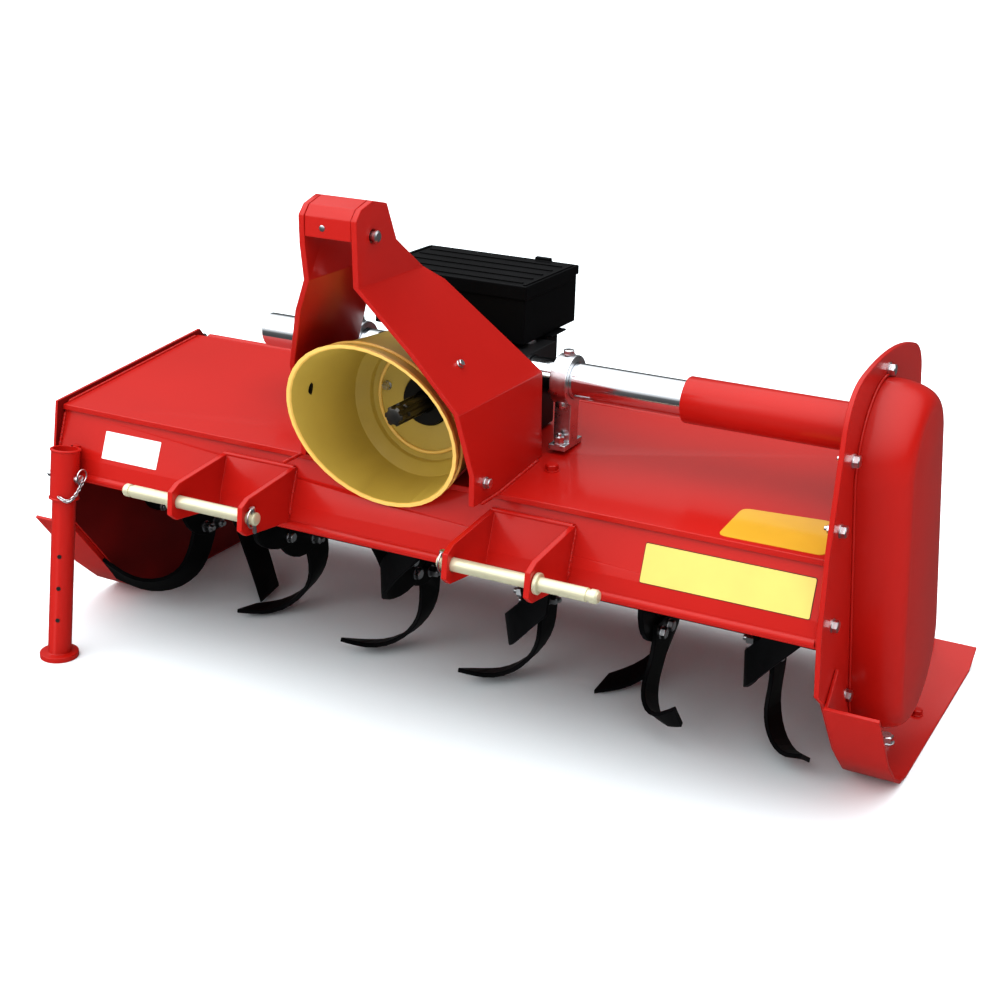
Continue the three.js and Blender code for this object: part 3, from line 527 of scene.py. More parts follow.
class RotavatorSizes(bpy.types.PropertyGroup):
    """Sizes that a user would change."""
    edge: length("Sheet edge", "Rounding of sheet steel edges", 0.0014)
    bolt_flats: length("Bolt flats", "Width across the flats of the common bolts", 0.017)
    blade_flats: length("Blade bolt flats", "Width across the flats of the blade bolts", 0.018)
    weld_width: length("Weld width", "Width of the fillet welds", 0.006)
    plate: length("Plate thickness", "Thickness of the stuck-on plates", 0.0007)
    spline_groove: length("Shaft groove", "Depth of the locking groove in the splined shaft", 0.0032)
    cover_soft: bpy.props.FloatProperty(
        name="Cover roundness", description="Power of the curve that rounds the chain cover's rim",
        default=2.5, min=1.2, max=6.0)
    lid_ribs: bpy.props.IntProperty(
        name="Lid ribs", description="Number of ribs along the tool box lid", default=5, min=2, max=20)


class RotavatorColours(bpy.types.PropertyGroup):
    """Colours that a user would change."""
    red: colour("Red enamel", "Body enamel", 0.40, 0.011, 0.007)
    black: colour("Black iron", "Paint on the gearbox", 0.012, 0.012, 0.013)
    blade: colour("Blade black", "Dipped paint on the rotor", 0.005, 0.005, 0.0055)
    chrome: colour("Tube bright", "Chromed beam", 0.70, 0.72, 0.75)
    zinc: colour("Pin zinc", "Plating on the hitch pins", 0.60, 0.56, 0.40)
    guard: colour("Guard yellow", "Moulded shaft guard", 0.44, 0.31, 0.06)
    guard_rim: colour("Guard rim", "Paler rim of the shaft guard", 0.76, 0.48, 0.12)
    yellow_plate: colour("Yellow plate", "Blank plate on the front face", 0.74, 0.49, 0.11)
    deck_plate: colour("Deck plate", "Blank plate on the deck", 0.60, 0.34, 0.02)
    white_plate: colour("White plate", "Blank white plate", 0.86, 0.86, 0.86)


# ---- hood

class ROTAVATOR_OT_hood(bpy.types.Operator):
    """Finish the hood and both side plates, with their seams and flange bolts"""
    bl_idname = "rotavator.hood"
    bl_label = "Hood and side plates"

    def execute(self, context):
        nodes = ["hood_deck", "left_end_plate", "right_side_plate"]
        deck, left_plate = dress_all(nodes, sizes().edge / MM)[:2]
        # Painted shade: the deck's inner faces and the left plate's inner face get the darker inside red.
        paint_inside_shade(deck, (0, 0.6, -1))
        paint_inside_shade(left_plate, RIGHT)
        seams = []
        for x in (HOOD_LEFT + 2, HOOD_RIGHT - 2):
            seams.append(weld([[x, y, deck_z(y) + 0.4] for y in (12, 200, 392)]))
            seams.append(weld([[x, face_y(z) - 0.4, z] for z in (436, 364, 326)]))
        weld_piece("hood_end_seams", seams)
        roll_z, roll_radius = 329, 7.5
        roll = [[x, face_y(roll_z) + 3.2, roll_z] for x in np.linspace(HOOD_LEFT + 4, HOOD_RIGHT - 4, 12)]
        enamelled("hood_lower_roll", tube(roll, roll_radius, 20), 60)
        plate = 745.3
        front = [(184, 695), (34, 595), (3, 498), (13, 346), (137, 178)]
        rear = [(338, 610), (362, 520), (398, 418), (440, 292), (482, 150)]
        fasteners("side_plate_bolts", [(plate, y, z) for y, z in front + rear], RIGHT)
        fasteners("side_plate_nuts", [(HOOD_RIGHT, y, z) for y, z in front[:3] + rear[:2]], LEFT, 12,
                  stud_nut)
        fasteners("deck_bolts", [(234, 115, deck_z(115))], OFF_DECK, 19, make=enamelled)
        return {"FINISHED"}


class ROTAVATOR_OT_chain_case(bpy.types.Operator):
    """Make the bulged chain case cover, its joint and two plugs"""
    bl_idname = "rotavator.chain_case"
    bl_label = "Chain case cover"

    def execute(self, context):
        low, high = millimetres("chain_case_cover")
        top, foot = np.array([165.0, 574.0]), np.array([282.0, 202.0])
        top_radius, foot_radius = 112.0, 128.0
        depth, rim, crown = high[0] - low[0] - 0.2, 38.0, 3.5
        base = low[0] + 0.1
        power = 2 / sizes().cover_soft

        def outline(inset_top, inset_foot):
            """Two circles and their outer tangents: each arc starts at the heading plus a tangent's lean."""
            r1, r2 = top_radius - inset_top, foot_radius - inset_foot
            span = foot - top
            run = np.hypot(*span)
            heading = math.atan2(span[1], span[0])
            lean = math.acos((r1 - r2) / run)
            first = heading + lean + np.linspace(0, 1, 56) * (2 * math.pi - 2 * lean)
            second = heading - lean + np.linspace(0, 1, 56) * 2 * lean
            one = top + r1 * np.stack([np.cos(first), np.sin(first)], -1)
            two = foot + r2 * np.stack([np.cos(second), np.sin(second)], -1)
            straight = np.linspace(0, 1, 14)[1:-1, None]
            return np.vstack([one, one[-1] + straight * (two[0] - one[-1]),
                              two, two[-1] + straight * (one[0] - two[-1])])

        rows, heights = [], []
        for turn in np.linspace(0, math.pi / 2, 18):
            inset = rim * (1 - math.cos(turn) ** power)
            rows.append(outline(inset, inset))
            heights.append((depth - crown) * math.sin(turn) ** power)
        for share in np.linspace(0, 0.985, 14)[1:]:
            rows.append(outline(rim + (top_radius - rim) * share, rim + (foot_radius - rim) * share))
            heights.append(depth - crown * (1 - share) ** 2)
        grid = np.array(rows)
        across = np.broadcast_to((base + np.array(heights))[:, None], grid.shape[:2])
        points = np.stack([across, grid[..., 0], grid[..., 1]], -1).reshape(-1, 3)
        build("chain_case_cover_finish", (points, capped_faces(*grid.shape[:2])), "red_paint",
              ["chain_case_cover"], 60)
        lip = outline(-3.0, -3.0)
        path = np.column_stack([np.full(len(lip), base + 1.2), lip])
        enamelled("chain_case_joint", tube(path, 2.2, 8, closed=True), 60)
        plugs = [ring_stack((base + 44, 392, 262), (0.1, 0.96, 0.24),
                            [(0, 15, 0), (5, 15, 0), (6, 9, 1), (15, 9, 1), (17, 7, 0)]),
                 ring_stack((base + 40, 330, 86), (0.1, 0.4, -0.9),
                            [(0, 13, 0), (4, 13, 0), (5, 8, 1), (11, 8, 1), (12, 6, 0)])]
        build("chain_case_plugs", merge(*plugs), "dark_steel", crease=30)
        return {"FINISHED"}


class ROTAVATOR_OT_skids(bpy.types.Operator):
    """Finish both skids and bolt them to the side plates"""
    bl_idname = "rotavator.skids"
    bl_label = "Skids"

    def execute(self, context):
        dress_all(["left_skid", "right_skid"], sizes().edge / MM)
        for name, x, way in (("left", -702.9, LEFT), ("right", 751.9, RIGHT)):
            fasteners(f"{name}_skid_bolts", [(x, 96, 132), (x, 168, 72), (x, 250, 30)], way, 23)
        sole_z = 6.4
        fasteners("skid_sole_bolts", [(771, 342, sole_z), (-722, 342, sole_z)], UP, 24)
        fasteners("skid_heel_bolts", [(792, 470, sole_z), (-744, 470, sole_z)], UP, 17, make=enamelled)
        return {"FINISHED"}


# ---- beam and gearbox

class ROTAVATOR_OT_beam(bpy.types.Operator):
    """Make the chromed beam, its red sleeve and the clamps that hold it"""
    bl_idname = "rotavator.beam"
    bl_label = "Beam and clamps"

    def execute(self, context):
        beam_y, beam_z = BEAM[1:]
        low, high = millimetres("beam_tube")
        radius, wall = (high[2] - low[2]) / 2, 6.0
        loop = [(low[0], radius - 2), (low[0] + 2, radius), (high[0], radius), (high[0], radius - wall),
                (low[0] + 1.5, radius - wall), (low[0], radius - wall + 1.2)]
        build("beam_tube_finish", lathe(loop, BEAM, RIGHT), "chromed_beam", ["beam_tube"], 40)
        low, high = millimetres("beam_sleeve")
        outer, inner = (high[2] - low[2]) / 2, radius + 0.3
        loop = [(low[0], outer - 2.5), (low[0] + 0.8, outer - 0.9), (low[0] + 2.6, outer), (high[0], outer),
                (high[0], inner), (low[0] + 1, inner), (low[0], inner + 1.2)]
        build("beam_sleeve_finish", lathe(loop, BEAM, RIGHT), "red_paint", ["beam_sleeve"], 40)
        ring = arc((high[0] - 1.5, beam_y, beam_z), outer + 0.6, REAR, UP, 0, TURN, 60)
        weld_piece("beam_sleeve_weld", [weld(ring, 3.4)])
        details = []
        for node in ("right_beam_clamp", "left_beam_clamp"):
            dress(node, 1.6, material=white_zinc())
            low, high = millimetres(node)
            middle = (low[0] + high[0]) / 2
            foot = deck_z(beam_y) + 14
            details += [stud_nut((middle, beam_y + way * 25, foot), UP, 15) for way in (-1, 1)]
            details.append(ring_stack((middle, beam_y, high[2] - 1), UP,
                                      [(0, 11, 0), (2, 11, 0), (2, 8.5, 1), (8, 8.5, 1), (9.5, 7, 0)]))
            details.append(ring_stack((middle, beam_y - 17, 553), FRONT,
                                      [(-2, 8, 0), (0, 8, 0), (1, 8, 1), (8, 8, 1), (9.5, 6, 0)]))
        plated("clamp_fasteners", merge(*details))
        return {"FINISHED"}


class ROTAVATOR_OT_gearbox(bpy.types.Operator):
    """Finish the gearbox casting and bolt on its rear cover and plugs"""
    bl_idname = "rotavator.gearbox"
    bl_label = "Gearbox"

    def execute(self, context):
        dress("gearbox", 3.0)
        high = millimetres("gearbox")[1]
        middle_x, middle_z = 27.0, 552.0
        cover = round_stack((middle_x, high[1], middle_z), REAR,
                            [(-2, 58), (6, 58), (8, 56), (8, 40), (11, 36), (11.5, 12)], 64)
        build("gearbox_rear_cover", cover, "black_iron")
        ring = arc((middle_x, high[1] + 8, middle_z), 49, RIGHT, UP, 0.3, 0.3 + TURN, 7)[:-1]
        fasteners("gearbox_cover_bolts", ring, REAR, 12)
        plugs = [ring_stack((112, 262, high[2]), UP, [(-2, 13, 0), (3, 13, 0), (3, 10, 1), (12, 10, 1),
                                                      (14, 8, 0), (18, 5, 0)]),
                 ring_stack((high[0] - 12, 270, 520), RIGHT, [(-2, 12, 0), (2, 12, 0), (2, 9, 1),
                                                              (9, 9, 1), (10, 7, 0)])]
        plated("gearbox_plugs", merge(*plugs))
        return {"FINISHED"}


class ROTAVATOR_OT_drive_shaft(bpy.types.Operator):
    """Make the splined drive shaft and its moulded guard"""
    bl_idname = "rotavator.drive_shaft"
    bl_label = "Drive shaft and guard"

    def execute(self, context):
        low, high = millimetres("pto_stub")
        tip, root = (high[0] - low[0]) / 2 - 0.05, (high[0] - low[0]) / 2 - 3.0
        groove = sizes().spline_groove / MM
        length, count, splines = high[1] - low[1], 180, 6
        angle = round_angles(count)
        along = np.array([0, 0.6, 2.5, 17, 18, 22, 26, 27, 60, length - 0.5, length])
        fall = np.array([5, 3.6, 0, 0, groove, groove + 0.8, groove, 0, 0, 0, 1.0])
        land = np.clip((np.cos(splines * angle) + 0.12) * 3.2, 0, 1)
        radius = np.minimum(root + (tip - root) * land[None], (tip - fall)[:, None])
        back = np.broadcast_to((low[1] + along)[:, None], radius.shape)
        points = np.stack([radius * np.cos(angle), back, radius * np.sin(angle) + SHAFT_Z], -1)
        build("pto_stub_finish", (points.reshape(-1, 3), capped_faces(len(along), count)), "dark_steel",
              ["pto_stub"], 30, "pto_shaft")

        bell = dress("pto_guard", 0.8)
        bell.data.materials.append(rim_plastic())
        lean = math.radians(19)
        centres = np.empty(len(bell.data.polygons) * 3)
        bell.data.polygons.foreach_get("center", centres)
        centres = (centres.reshape(-1, 3) - DATUM) / MM
        mouth = -68 - (centres[:, 2] - SHAFT_Z) * math.tan(lean)
        on_rim = centres[:, 1] < mouth + 8.5
        bell.data.polygons.foreach_set("material_index", on_rim.astype(np.int32))

        def hoop(share, front, back, swell):
            """A ring on the skirt: the leaning front ring and the upright back ring, blended by a share."""
            a = round_angles(120)
            (r0, y0), (r1, y1) = front, back
            one = np.stack([r0 * np.cos(a), y0 - r0 * np.sin(a) * math.sin(lean),
                            r0 * np.sin(a) * math.cos(lean)], -1)
            two = np.stack([r1 * np.cos(a), np.full(len(a), y1), r1 * np.sin(a)], -1)
            ring = one + (two - one) * share
            ring[:, [0, 2]] *= 1 + swell / r0
            return ring + [0, 0, SHAFT_Z]

        beads = {"guard_outer_bead": tube(hoop(0.13, (150, -59), (130, 90.7), 0.8), 2.8, 10, closed=True),
                 "guard_inner_bead": tube(circle((0, 111.6, SHAFT_Z), 90, RIGHT, UP, 96), 3.2, 10,
                                          closed=True)}
        for name, bead in beads.items():
            build(name, bead, "yellow_plastic", crease=60, material=rim_plastic())
        slot_z, stretch = 579, 2.8
        # Painted shade: a black disc that stands for the dark inside of the slot in the guard.
        slot = round_stack((-134.6, -31, slot_z), (0.96, 0.1, -0.26), [(-4.0, 4.4), (1.6, 4.4)], 20)
        slot[0][:, 2] = slot_z + (slot[0][:, 2] - slot_z) * stretch
        build("guard_slot_shade", slot, "black_plastic", crease=30)
        fasteners("guard_bolts", [(x, 112.6, z) for x, z in ((-76, 556), (76, 556), (0, 626))], FRONT, 13)
        return {"FINISHED"}


# ---- mast and hitch

def spring_clip(spot):
    """Spring clip: a tapered pin through the rod with a wire ring sprung over the rod's end."""
    spot = np.asarray(spot, float)
    down = unit((0, 0.12, -1))
    pin = round_stack(spot - down * 20, down, [(0, 4.6), (1, 5.2), (7, 5.2), (8.5, 4.0), (44, 3.8),
                                               (47, 2.2)], 16)
    side = unit(np.cross(down, REAR))
    front = unit(np.cross(side, down))
    hoop = arc(spot - down + front, 17, -front, down, -1.75, 1.75, 26)
    return merge(pin, tube(hoop, 1.7, 8))


class ROTAVATOR_OT_mast(bpy.types.Operator):
    """Finish the mast plates, their cap and the top link pin"""
    bl_idname = "rotavator.mast"
    bl_label = "Mast"

    def execute(self, context):
        cap = dress_all(["mast_left_plate", "mast_right_plate", "mast_cap"], sizes().edge / MM + 0.4)[2].data
        cap_face = millimetres("mast_cap")[0][1] + 1.2
        spots = np.empty(len(cap.vertices) * 3)
        cap.vertices.foreach_get("co", spots)
        spots[1::3] = np.maximum(spots[1::3], DATUM[1] + cap_face * MM)
        cap.vertices.foreach_set("co", spots)
        pin = round_stack((-57, TOP_PIN_Y, TOP_PIN_Z), RIGHT,
                          [(0, 6), (1.5, 7.6), (112, 7.6), (112, 9.4), (115, 9.4), (117, 7)], 32)
        plated("top_link_pin_finish", pin, ["top_link_pin"])
        welds = [weld([[x, -60, 450.8], [x, 0, 450.8], [x, 140, deck_z(140) + 0.6]]) for x in (196.5, -171.5)]
        welds += [weld([[x, -168, 900], [x, -140, 910], [x, -104, 902]], 2.4) for x in (-39, 39)]
        weld_piece("mast_welds", welds)
        fasteners("mast_low_bolts", [(195.2, -44, 481), (-170.2, 20, 492)], RIGHT, 15)
        fasteners("mast_side_bolts", [(151.5, -55, 667)], (181, 0, 145), 10)
        rivet = round_stack((-9, cap_face, 877), FRONT, [(-1.5, 4.8), (0.5, 4.8), (1.0, 3.8)])
        plated("mast_cap_rivet", rivet)
        plated("top_link_clip", spring_clip((-53, TOP_PIN_Y, TOP_PIN_Z)), crease=35)
        return {"FINISHED"}


class ROTAVATOR_OT_hitch(bpy.types.Operator):
    """Finish the lower hitch brackets, turn their pins and fit the spring clips"""
    bl_idname = "rotavator.hitch"
    bl_label = "Lower hitch"

    def execute(self, context):
        dress_all(["right_hitch_bracket", "left_hitch_bracket"], sizes().edge / MM + 0.2)
        welds, clips = [], []
        start, rod, collar = 168, 10.95, 16.9
        rings = [(0, rod - 3), (0.4, rod - 1.6), (2, rod), (6.5, rod), (6.9, rod - 1), (8.1, rod - 1),
                 (8.5, rod), (166.5, rod), (166.5, collar - 0.8), (167.3, collar), (172.4, collar),
                 (173.2, collar - 0.8), (173.3, rod), (251, rod), (251.6, rod - 1.6), (256.4, rod - 1.6),
                 (257, rod), (266, rod), (269.4, rod - 2.6), (269.9, rod - 4.5)]
        for name, way in (("right", 1), ("left", -1)):
            pin = round_stack((way * start, LOWER_PIN_Y, LOWER_PIN_Z), (way, 0, 0), rings, 40)
            build(f"{name}_lower_pin_finish", pin, "plated_steel", [f"{name}_lower_pin"], 30)
            clips.append(spring_clip((way * (start + 8), LOWER_PIN_Y, LOWER_PIN_Z)))
            for x in (184, 194, 324, 334):
                welds.append(weld([[way * x, face_y(z) - 0.8, z] for z in (420, 400, 362, 344)], 2.8))
            welds.append(tube([[way * x, face_y(424) - 4.2, 422.4] for x in (188, 260, 330)], 4.4, 16))
        plated("hitch_clips", merge(*clips), crease=35)
        weld_piece("hitch_welds", welds)
        return {"FINISHED"}


# ---- tool box and stand

class ROTAVATOR_OT_tool_box(bpy.types.Operator):
    """Finish the tool box, its ribbed lid and its latch"""
    bl_idname = "rotavator.tool_box"
    bl_label = "Tool box"

    def execute(self, context):
        dress_all(["tool_box_pedestal", "tool_box"], 2.2)
        dress("tool_box_lid", 2.0)
        low, high = millimetres("tool_box_lid")
        foot, rise = 734.1, 2.2
        ribs = []
        for y in np.linspace(low[1] + 22, high[1] - 34, sizes().lid_ribs):
            outline = rounded_outline(high[0] - low[0] - 34, 7, 3.2, 4)
            corners = np.array([(low[0] + high[0]) / 2, y, foot]) + np.pad(outline, ((0, 0), (0, 1)))
            ribs.append(slab(corners, UP, rise))
        edges = []
        for x in (low[0] + 7, high[0] - 7):
            outline = ((x - 3, low[1] + 6), (x + 3, low[1] + 6), (x + 3, high[1] - 14), (x - 3, high[1] - 14))
            edges.append(slab([(*corner, foot) for corner in outline], UP, rise))
        for name, slabs in (("tool_box_lid_ribs", ribs), ("tool_box_lid_edge_ribs", edges)):
            build(name, merge(*slabs), "black_plastic", body="tool_box_lid", bevel=0.8)
        front = millimetres("tool_box")[0][1]
        latch = [(x, front, z) for x, z in ((-34, 696), (-6, 696), (-6, 708), (-34, 708))]
        build("tool_box_latch", slab(latch, FRONT, 4.5), "black_plastic", bevel=1.4)
        return {"FINISHED"}


class ROTAVATOR_OT_stand(bpy.types.Operator):
    """Finish the parking stand, with its locking pin and the pin's chain"""
    bl_idname = "rotavator.stand"
    bl_label = "Parking stand"

    def execute(self, context):
        dress_all(["stand_sleeve", "stand_leg"], 1.2)
        tilt = math.radians(7.6)
        lean = unit((0, math.sin(tilt), math.cos(tilt)))
        foot = np.array([-648.0, -39.3 - math.tan(tilt) * 440, 0.0])

        def on_leg(height, out=0.0, round_way=0.0):
            """A point beside the leg: up its axis, then out at an angle round it."""
            first = np.array([1.0, 0, 0])
            second = np.cross(lean, first)
            return foot + lean * height + out * (math.cos(round_way) * first + math.sin(round_way) * second)

        lips = []
        for height in (299.5, 388.0):
            ring = np.array([on_leg(height, 25.5, a) for a in np.linspace(0, TURN, 49)[:-1]])
            lips.append(tube(ring, 2.1, 8, closed=True))
        enamelled("stand_sleeve_lips", merge(*lips), 60)
        pin_height = 338
        knob = round_stack(on_leg(pin_height, 22), RIGHT, [(0, 6), (9, 6), (9, 9), (14, 9), (15, 7.6)], 20)
        point = round_stack(on_leg(pin_height, -24), LEFT, [(0, 5), (12, 5), (14, 3.4)], 20)
        plated("stand_pin", merge(knob, point), crease=35)
        head = on_leg(pin_height, 40)
        loop = circle(head + np.array([0, 0, 8]), 12, REAR, UP, 32)
        plated("stand_pin_ring", tube(loop, 1.6, 8, closed=True), crease=60)
        start = head + np.array([1, 0, -3])
        end = on_leg(306, 27, -1.2)
        share = np.linspace(0, 1, 17)[:, None]
        line = start + (end - start) * share + np.array([6, -9, -16]) * np.sin(share * math.pi)
        links = []
        for i in range(len(line) - 1):
            centre, run = (line[i] + line[i + 1]) / 2, unit(line[i + 1] - line[i])
            across = side_axes(run)[1 - i % 2]
            turn = np.linspace(0, TURN, 17)[:-1, None]
            oval = centre + np.cos(turn) * run * 4.6 + np.sin(turn) * across * 2.7
            links.append(tube(oval, 0.95, 6, closed=True))
        plated("stand_chain", merge(*links), crease=60)
        # Painted shade: thin dark discs on the leg stand for the dark insides of its pin holes.
        way = 0.45 - math.pi / 2
        hole_shades = [round_stack(on_leg(height, 20.2, way), on_leg(height, 1, way) - on_leg(height),
                             [(0, 4.0), (0.95, 4.0)], 20) for height in (74, 134, 194)]
        build("stand_leg_hole_shades", merge(*hole_shades), "dark_steel", crease=30, body="stand_leg")
        return {"FINISHED"}


# ---- rotor

# Each set's place along the rotor, and the side and angle of each of its blade pairs
BLADE_SETS = [
    (118, ((-1, 0), (1, 66))),
    (338, ((-1, 44), (1, 100))),
    (604, ((-1, 30), (1, -60))),
    (848, ((-1, 31), (1, -48))),
    (1068, ((-1, 60), (1, 4))),
    (1271, ((1, 22), (1, -60))),
]


def six_round(x, radius):
    """Six places at equal angles round the rotor's axis."""
    return [(x, ROTOR[1] + radius * math.cos(a), ROTOR[2] + radius * math.sin(a))
            for a in np.arange(6) * math.pi / 3 + 0.3]


class ROTAVATOR_OT_rotor(bpy.types.Operator):
    """Finish the rotor and bolt its blades to their flanges"""
    bl_idname = "rotavator.rotor"
    bl_label = "Rotor and blades"

    def execute(self, context):
        dress("rotor_tube", 1.0, 40)
        dress("left_rotor_bearing", 1.6, 40, blade_paint())
        flats = sizes().blade_flats / MM
        bolt_radius, bolt_gap = 66, 17
        welds = []
        for number, (place_x, pairs) in enumerate(BLADE_SETS, 1):
            dress(f"blade_set_{number}", 1.3, 40)
            x = HOOD_LEFT + place_x
            bolts = []
            for side, turn in [(side, angle + more) for side, angle in pairs for more in (0, 180)]:
                a = math.radians(turn - 2.5)
                for offset in (-bolt_gap, bolt_gap):
                    spot = ROTOR + np.array([x, -bolt_radius * math.sin(a) + offset * math.cos(a),
                                             bolt_radius * math.cos(a) + offset * math.sin(a)])
                    bolts.append(hex_bolt(spot + [side * 12.4, 0, 0], (side, 0, 0), flats, turn * 0.1))
                    bolts.append(stud_nut(spot - [side * 5, 0, 0], (-side, 0, 0), flats, turn * 0.2))
            plated(f"blade_set_{number}_bolts", merge(*bolts), body="rotor", slot="black_paint")
            for side in (-1, 1):
                welds.append(weld(arc((x + side * 6, *ROTOR[1:]), 39, REAR, UP, 0, TURN, 40), 3))
        build("rotor_welds", merge(*welds), "black_paint", crease=50, body="rotor")
        fasteners("left_hub_bolts", six_round(-678.0, 50), RIGHT, 13)
        outside = millimetres("left_end_plate")[0][0]
        cap = round_stack((outside, *ROTOR[1:]), LEFT, [(-2, 52), (4, 52), (6, 50), (6, 34), (13, 30),
                                                        (15, 26)], 48)
        enamelled("left_hub_cap", cap, 35)
        fasteners("left_hub_cap_bolts", six_round(outside - 5, 43), LEFT, 11)
        return {"FINISHED"}


class ROTAVATOR_OT_tailboard(bpy.types.Operator):
    """Finish the tailboard with its stiffeners, hinge rod, stay and stay bracket"""
    bl_idname = "rotavator.tailboard"
    bl_label = "Tailboard and stay"

    def execute(self, context):
        dress_all(["tailboard", "tailboard_stay_bracket"], sizes().edge / MM)
        dress("tailboard_hinge_rod", 1.0, 40)
        dress("tailboard_stay_rod", 0.8, 40)
        dress("tailboard_stay_swivel", 1.2, 40, white_zinc())
        hang = math.radians(-58)
        along_way = np.array([0, math.cos(hang), math.sin(hang)])
        out_way = np.array([0, -math.sin(hang), math.cos(hang)])
        board = [(8, 4), (40, 6), (248.6, 14), (426, 4)]

        def on_board(x, a, rise):
            """A point over the tailboard: along it from the hinge, and out by its curve plus a rise."""
            out = np.interp(a, *zip(*board))
            return HINGE + along_way * a + out_way * (out + rise) + np.array([x, 0, 0])

        ribs = []
        for x in (-520, -290, 200, 430, 620):
            line = np.array([on_board(x, a, -1.5) for a in np.linspace(46, 404, 28)])
            taper = np.clip(np.minimum(np.arange(28), 27 - np.arange(28)) / 3.0, 0.15, 1)
            ribs.append(tube(line, 7.0 * taper, 12))
        enamelled("tailboard_ribs", merge(*ribs), 60, "tailboard")
        lug_welds = [weld([on_board(x, 204, 0.5), on_board(x, 268, 0.5)], 2.6) for x in (-58, -22)]
        enamelled("tailboard_lug_welds", merge(*lug_welds), 50, "tailboard")
        ends = [round_stack((x, *HINGE[1:]), way, [(0, 10), (2, 10), (2.6, 9), (2.6, 6), (5, 5.4)])
                for x, way in ((-696.0, LEFT), (745.0, RIGHT))]
        plated("tailboard_rod_ends", merge(*ends), crease=35)
        feet = [(x, y, deck_z(y) + 8) for y in (378, 336) for x in (-66, -14)]
        fasteners("stay_bracket_bolts", feet, OFF_DECK, 12)
        return {"FINISHED"}


# ---- plates

def plate_on(corners, normal, radius, thickness):
    """Thin plate over four corners: its corners are cut back along both sides and rounded between."""
    corners = np.asarray(corners, float)
    spots = []
    for i, corner in enumerate(corners):
        before = unit(corners[i - 1] - corner)
        after = unit(corners[(i + 1) % 4] - corner)
        share = np.linspace(0, 1, 6)[:, None]
        start, stop = corner + before * radius, corner + after * radius
        spots.append((1 - share) ** 2 * start + 2 * share * (1 - share) * corner + share ** 2 * stop)
    return slab(np.vstack(spots), normal, thickness)


class ROTAVATOR_OT_plates(bpy.types.Operator):
    """Stick the blank plates to the hood"""
    bl_idname = "rotavator.plates"
    bl_label = "Blank plates"

    def execute(self, context):
        thick = sizes().plate / MM
        border_thick = thick * 0.6
        face_normal = unit((0, -78, 27))
        deck_normal = unit((0, -0.1025, 1))

        def on_face(corners, lift=0.0):
            """Points on the front face from (right, up) pairs, raised along its normal."""
            return [np.array([x, face_y(z), z]) + face_normal * lift for x, z in corners]

        white = finish("white_vinyl", colours().white_plate, 0.35, coat=0.4, cloud=0.03, cloud_scale=20)
        yellow = finish("yellow_vinyl", colours().yellow_plate, 0.35, coat=0.4, cloud=0.05, cloud_scale=14)
        amber = finish("amber_vinyl", colours().deck_plate, 0.35, coat=0.4, cloud=0.05, cloud_scale=14)
        border = finish("plate_border", (0.05, 0.02, 0.004, 1), 0.4, cloud=0.2, cloud_scale=30)
        on_white = on_face([(-590, 417), (-468, 417), (-470, 370), (-591, 370)])
        on_border = on_face([(451, 421), (721, 421), (721, 361.5), (451, 361.5)])
        on_yellow = on_face([(452.2, 419.8), (719.8, 419.8), (719.8, 362.7), (452.2, 362.7)], border_thick)
        on_amber = [np.array([x, y, deck_z(y)]) for x, y in ((559, 10), (725, 12), (702, 125), (562, 112))]
        for name, corners, normal, radius, depth, material in (
                ("white_plate", on_white, face_normal, 2, thick, white),
                ("yellow_plate_border", on_border, face_normal, 4, border_thick, border),
                ("yellow_plate", on_yellow, face_normal, 3, thick, yellow),
                ("amber_plate", on_amber, deck_normal, 14, thick, amber)):
            build(name, plate_on(corners, normal, radius, depth), "red_paint", crease=30, material=material)
        return {"FINISHED"}


# ---- stage

def stand_at(name, data, right, up, back, spot):
    """A lamp or camera at a place, turned so that its own axes are three given unit vectors."""
    thing = bpy.data.objects.new(name, data)
    thing.matrix_world = Matrix((
        (right[0], up[0], back[0], spot[0]), (right[1], up[1], back[1], spot[1]),
        (right[2], up[2], back[2], spot[2]), (0, 0, 0, 1)))
    bpy.context.scene.collection.objects.link(thing)
    return thing


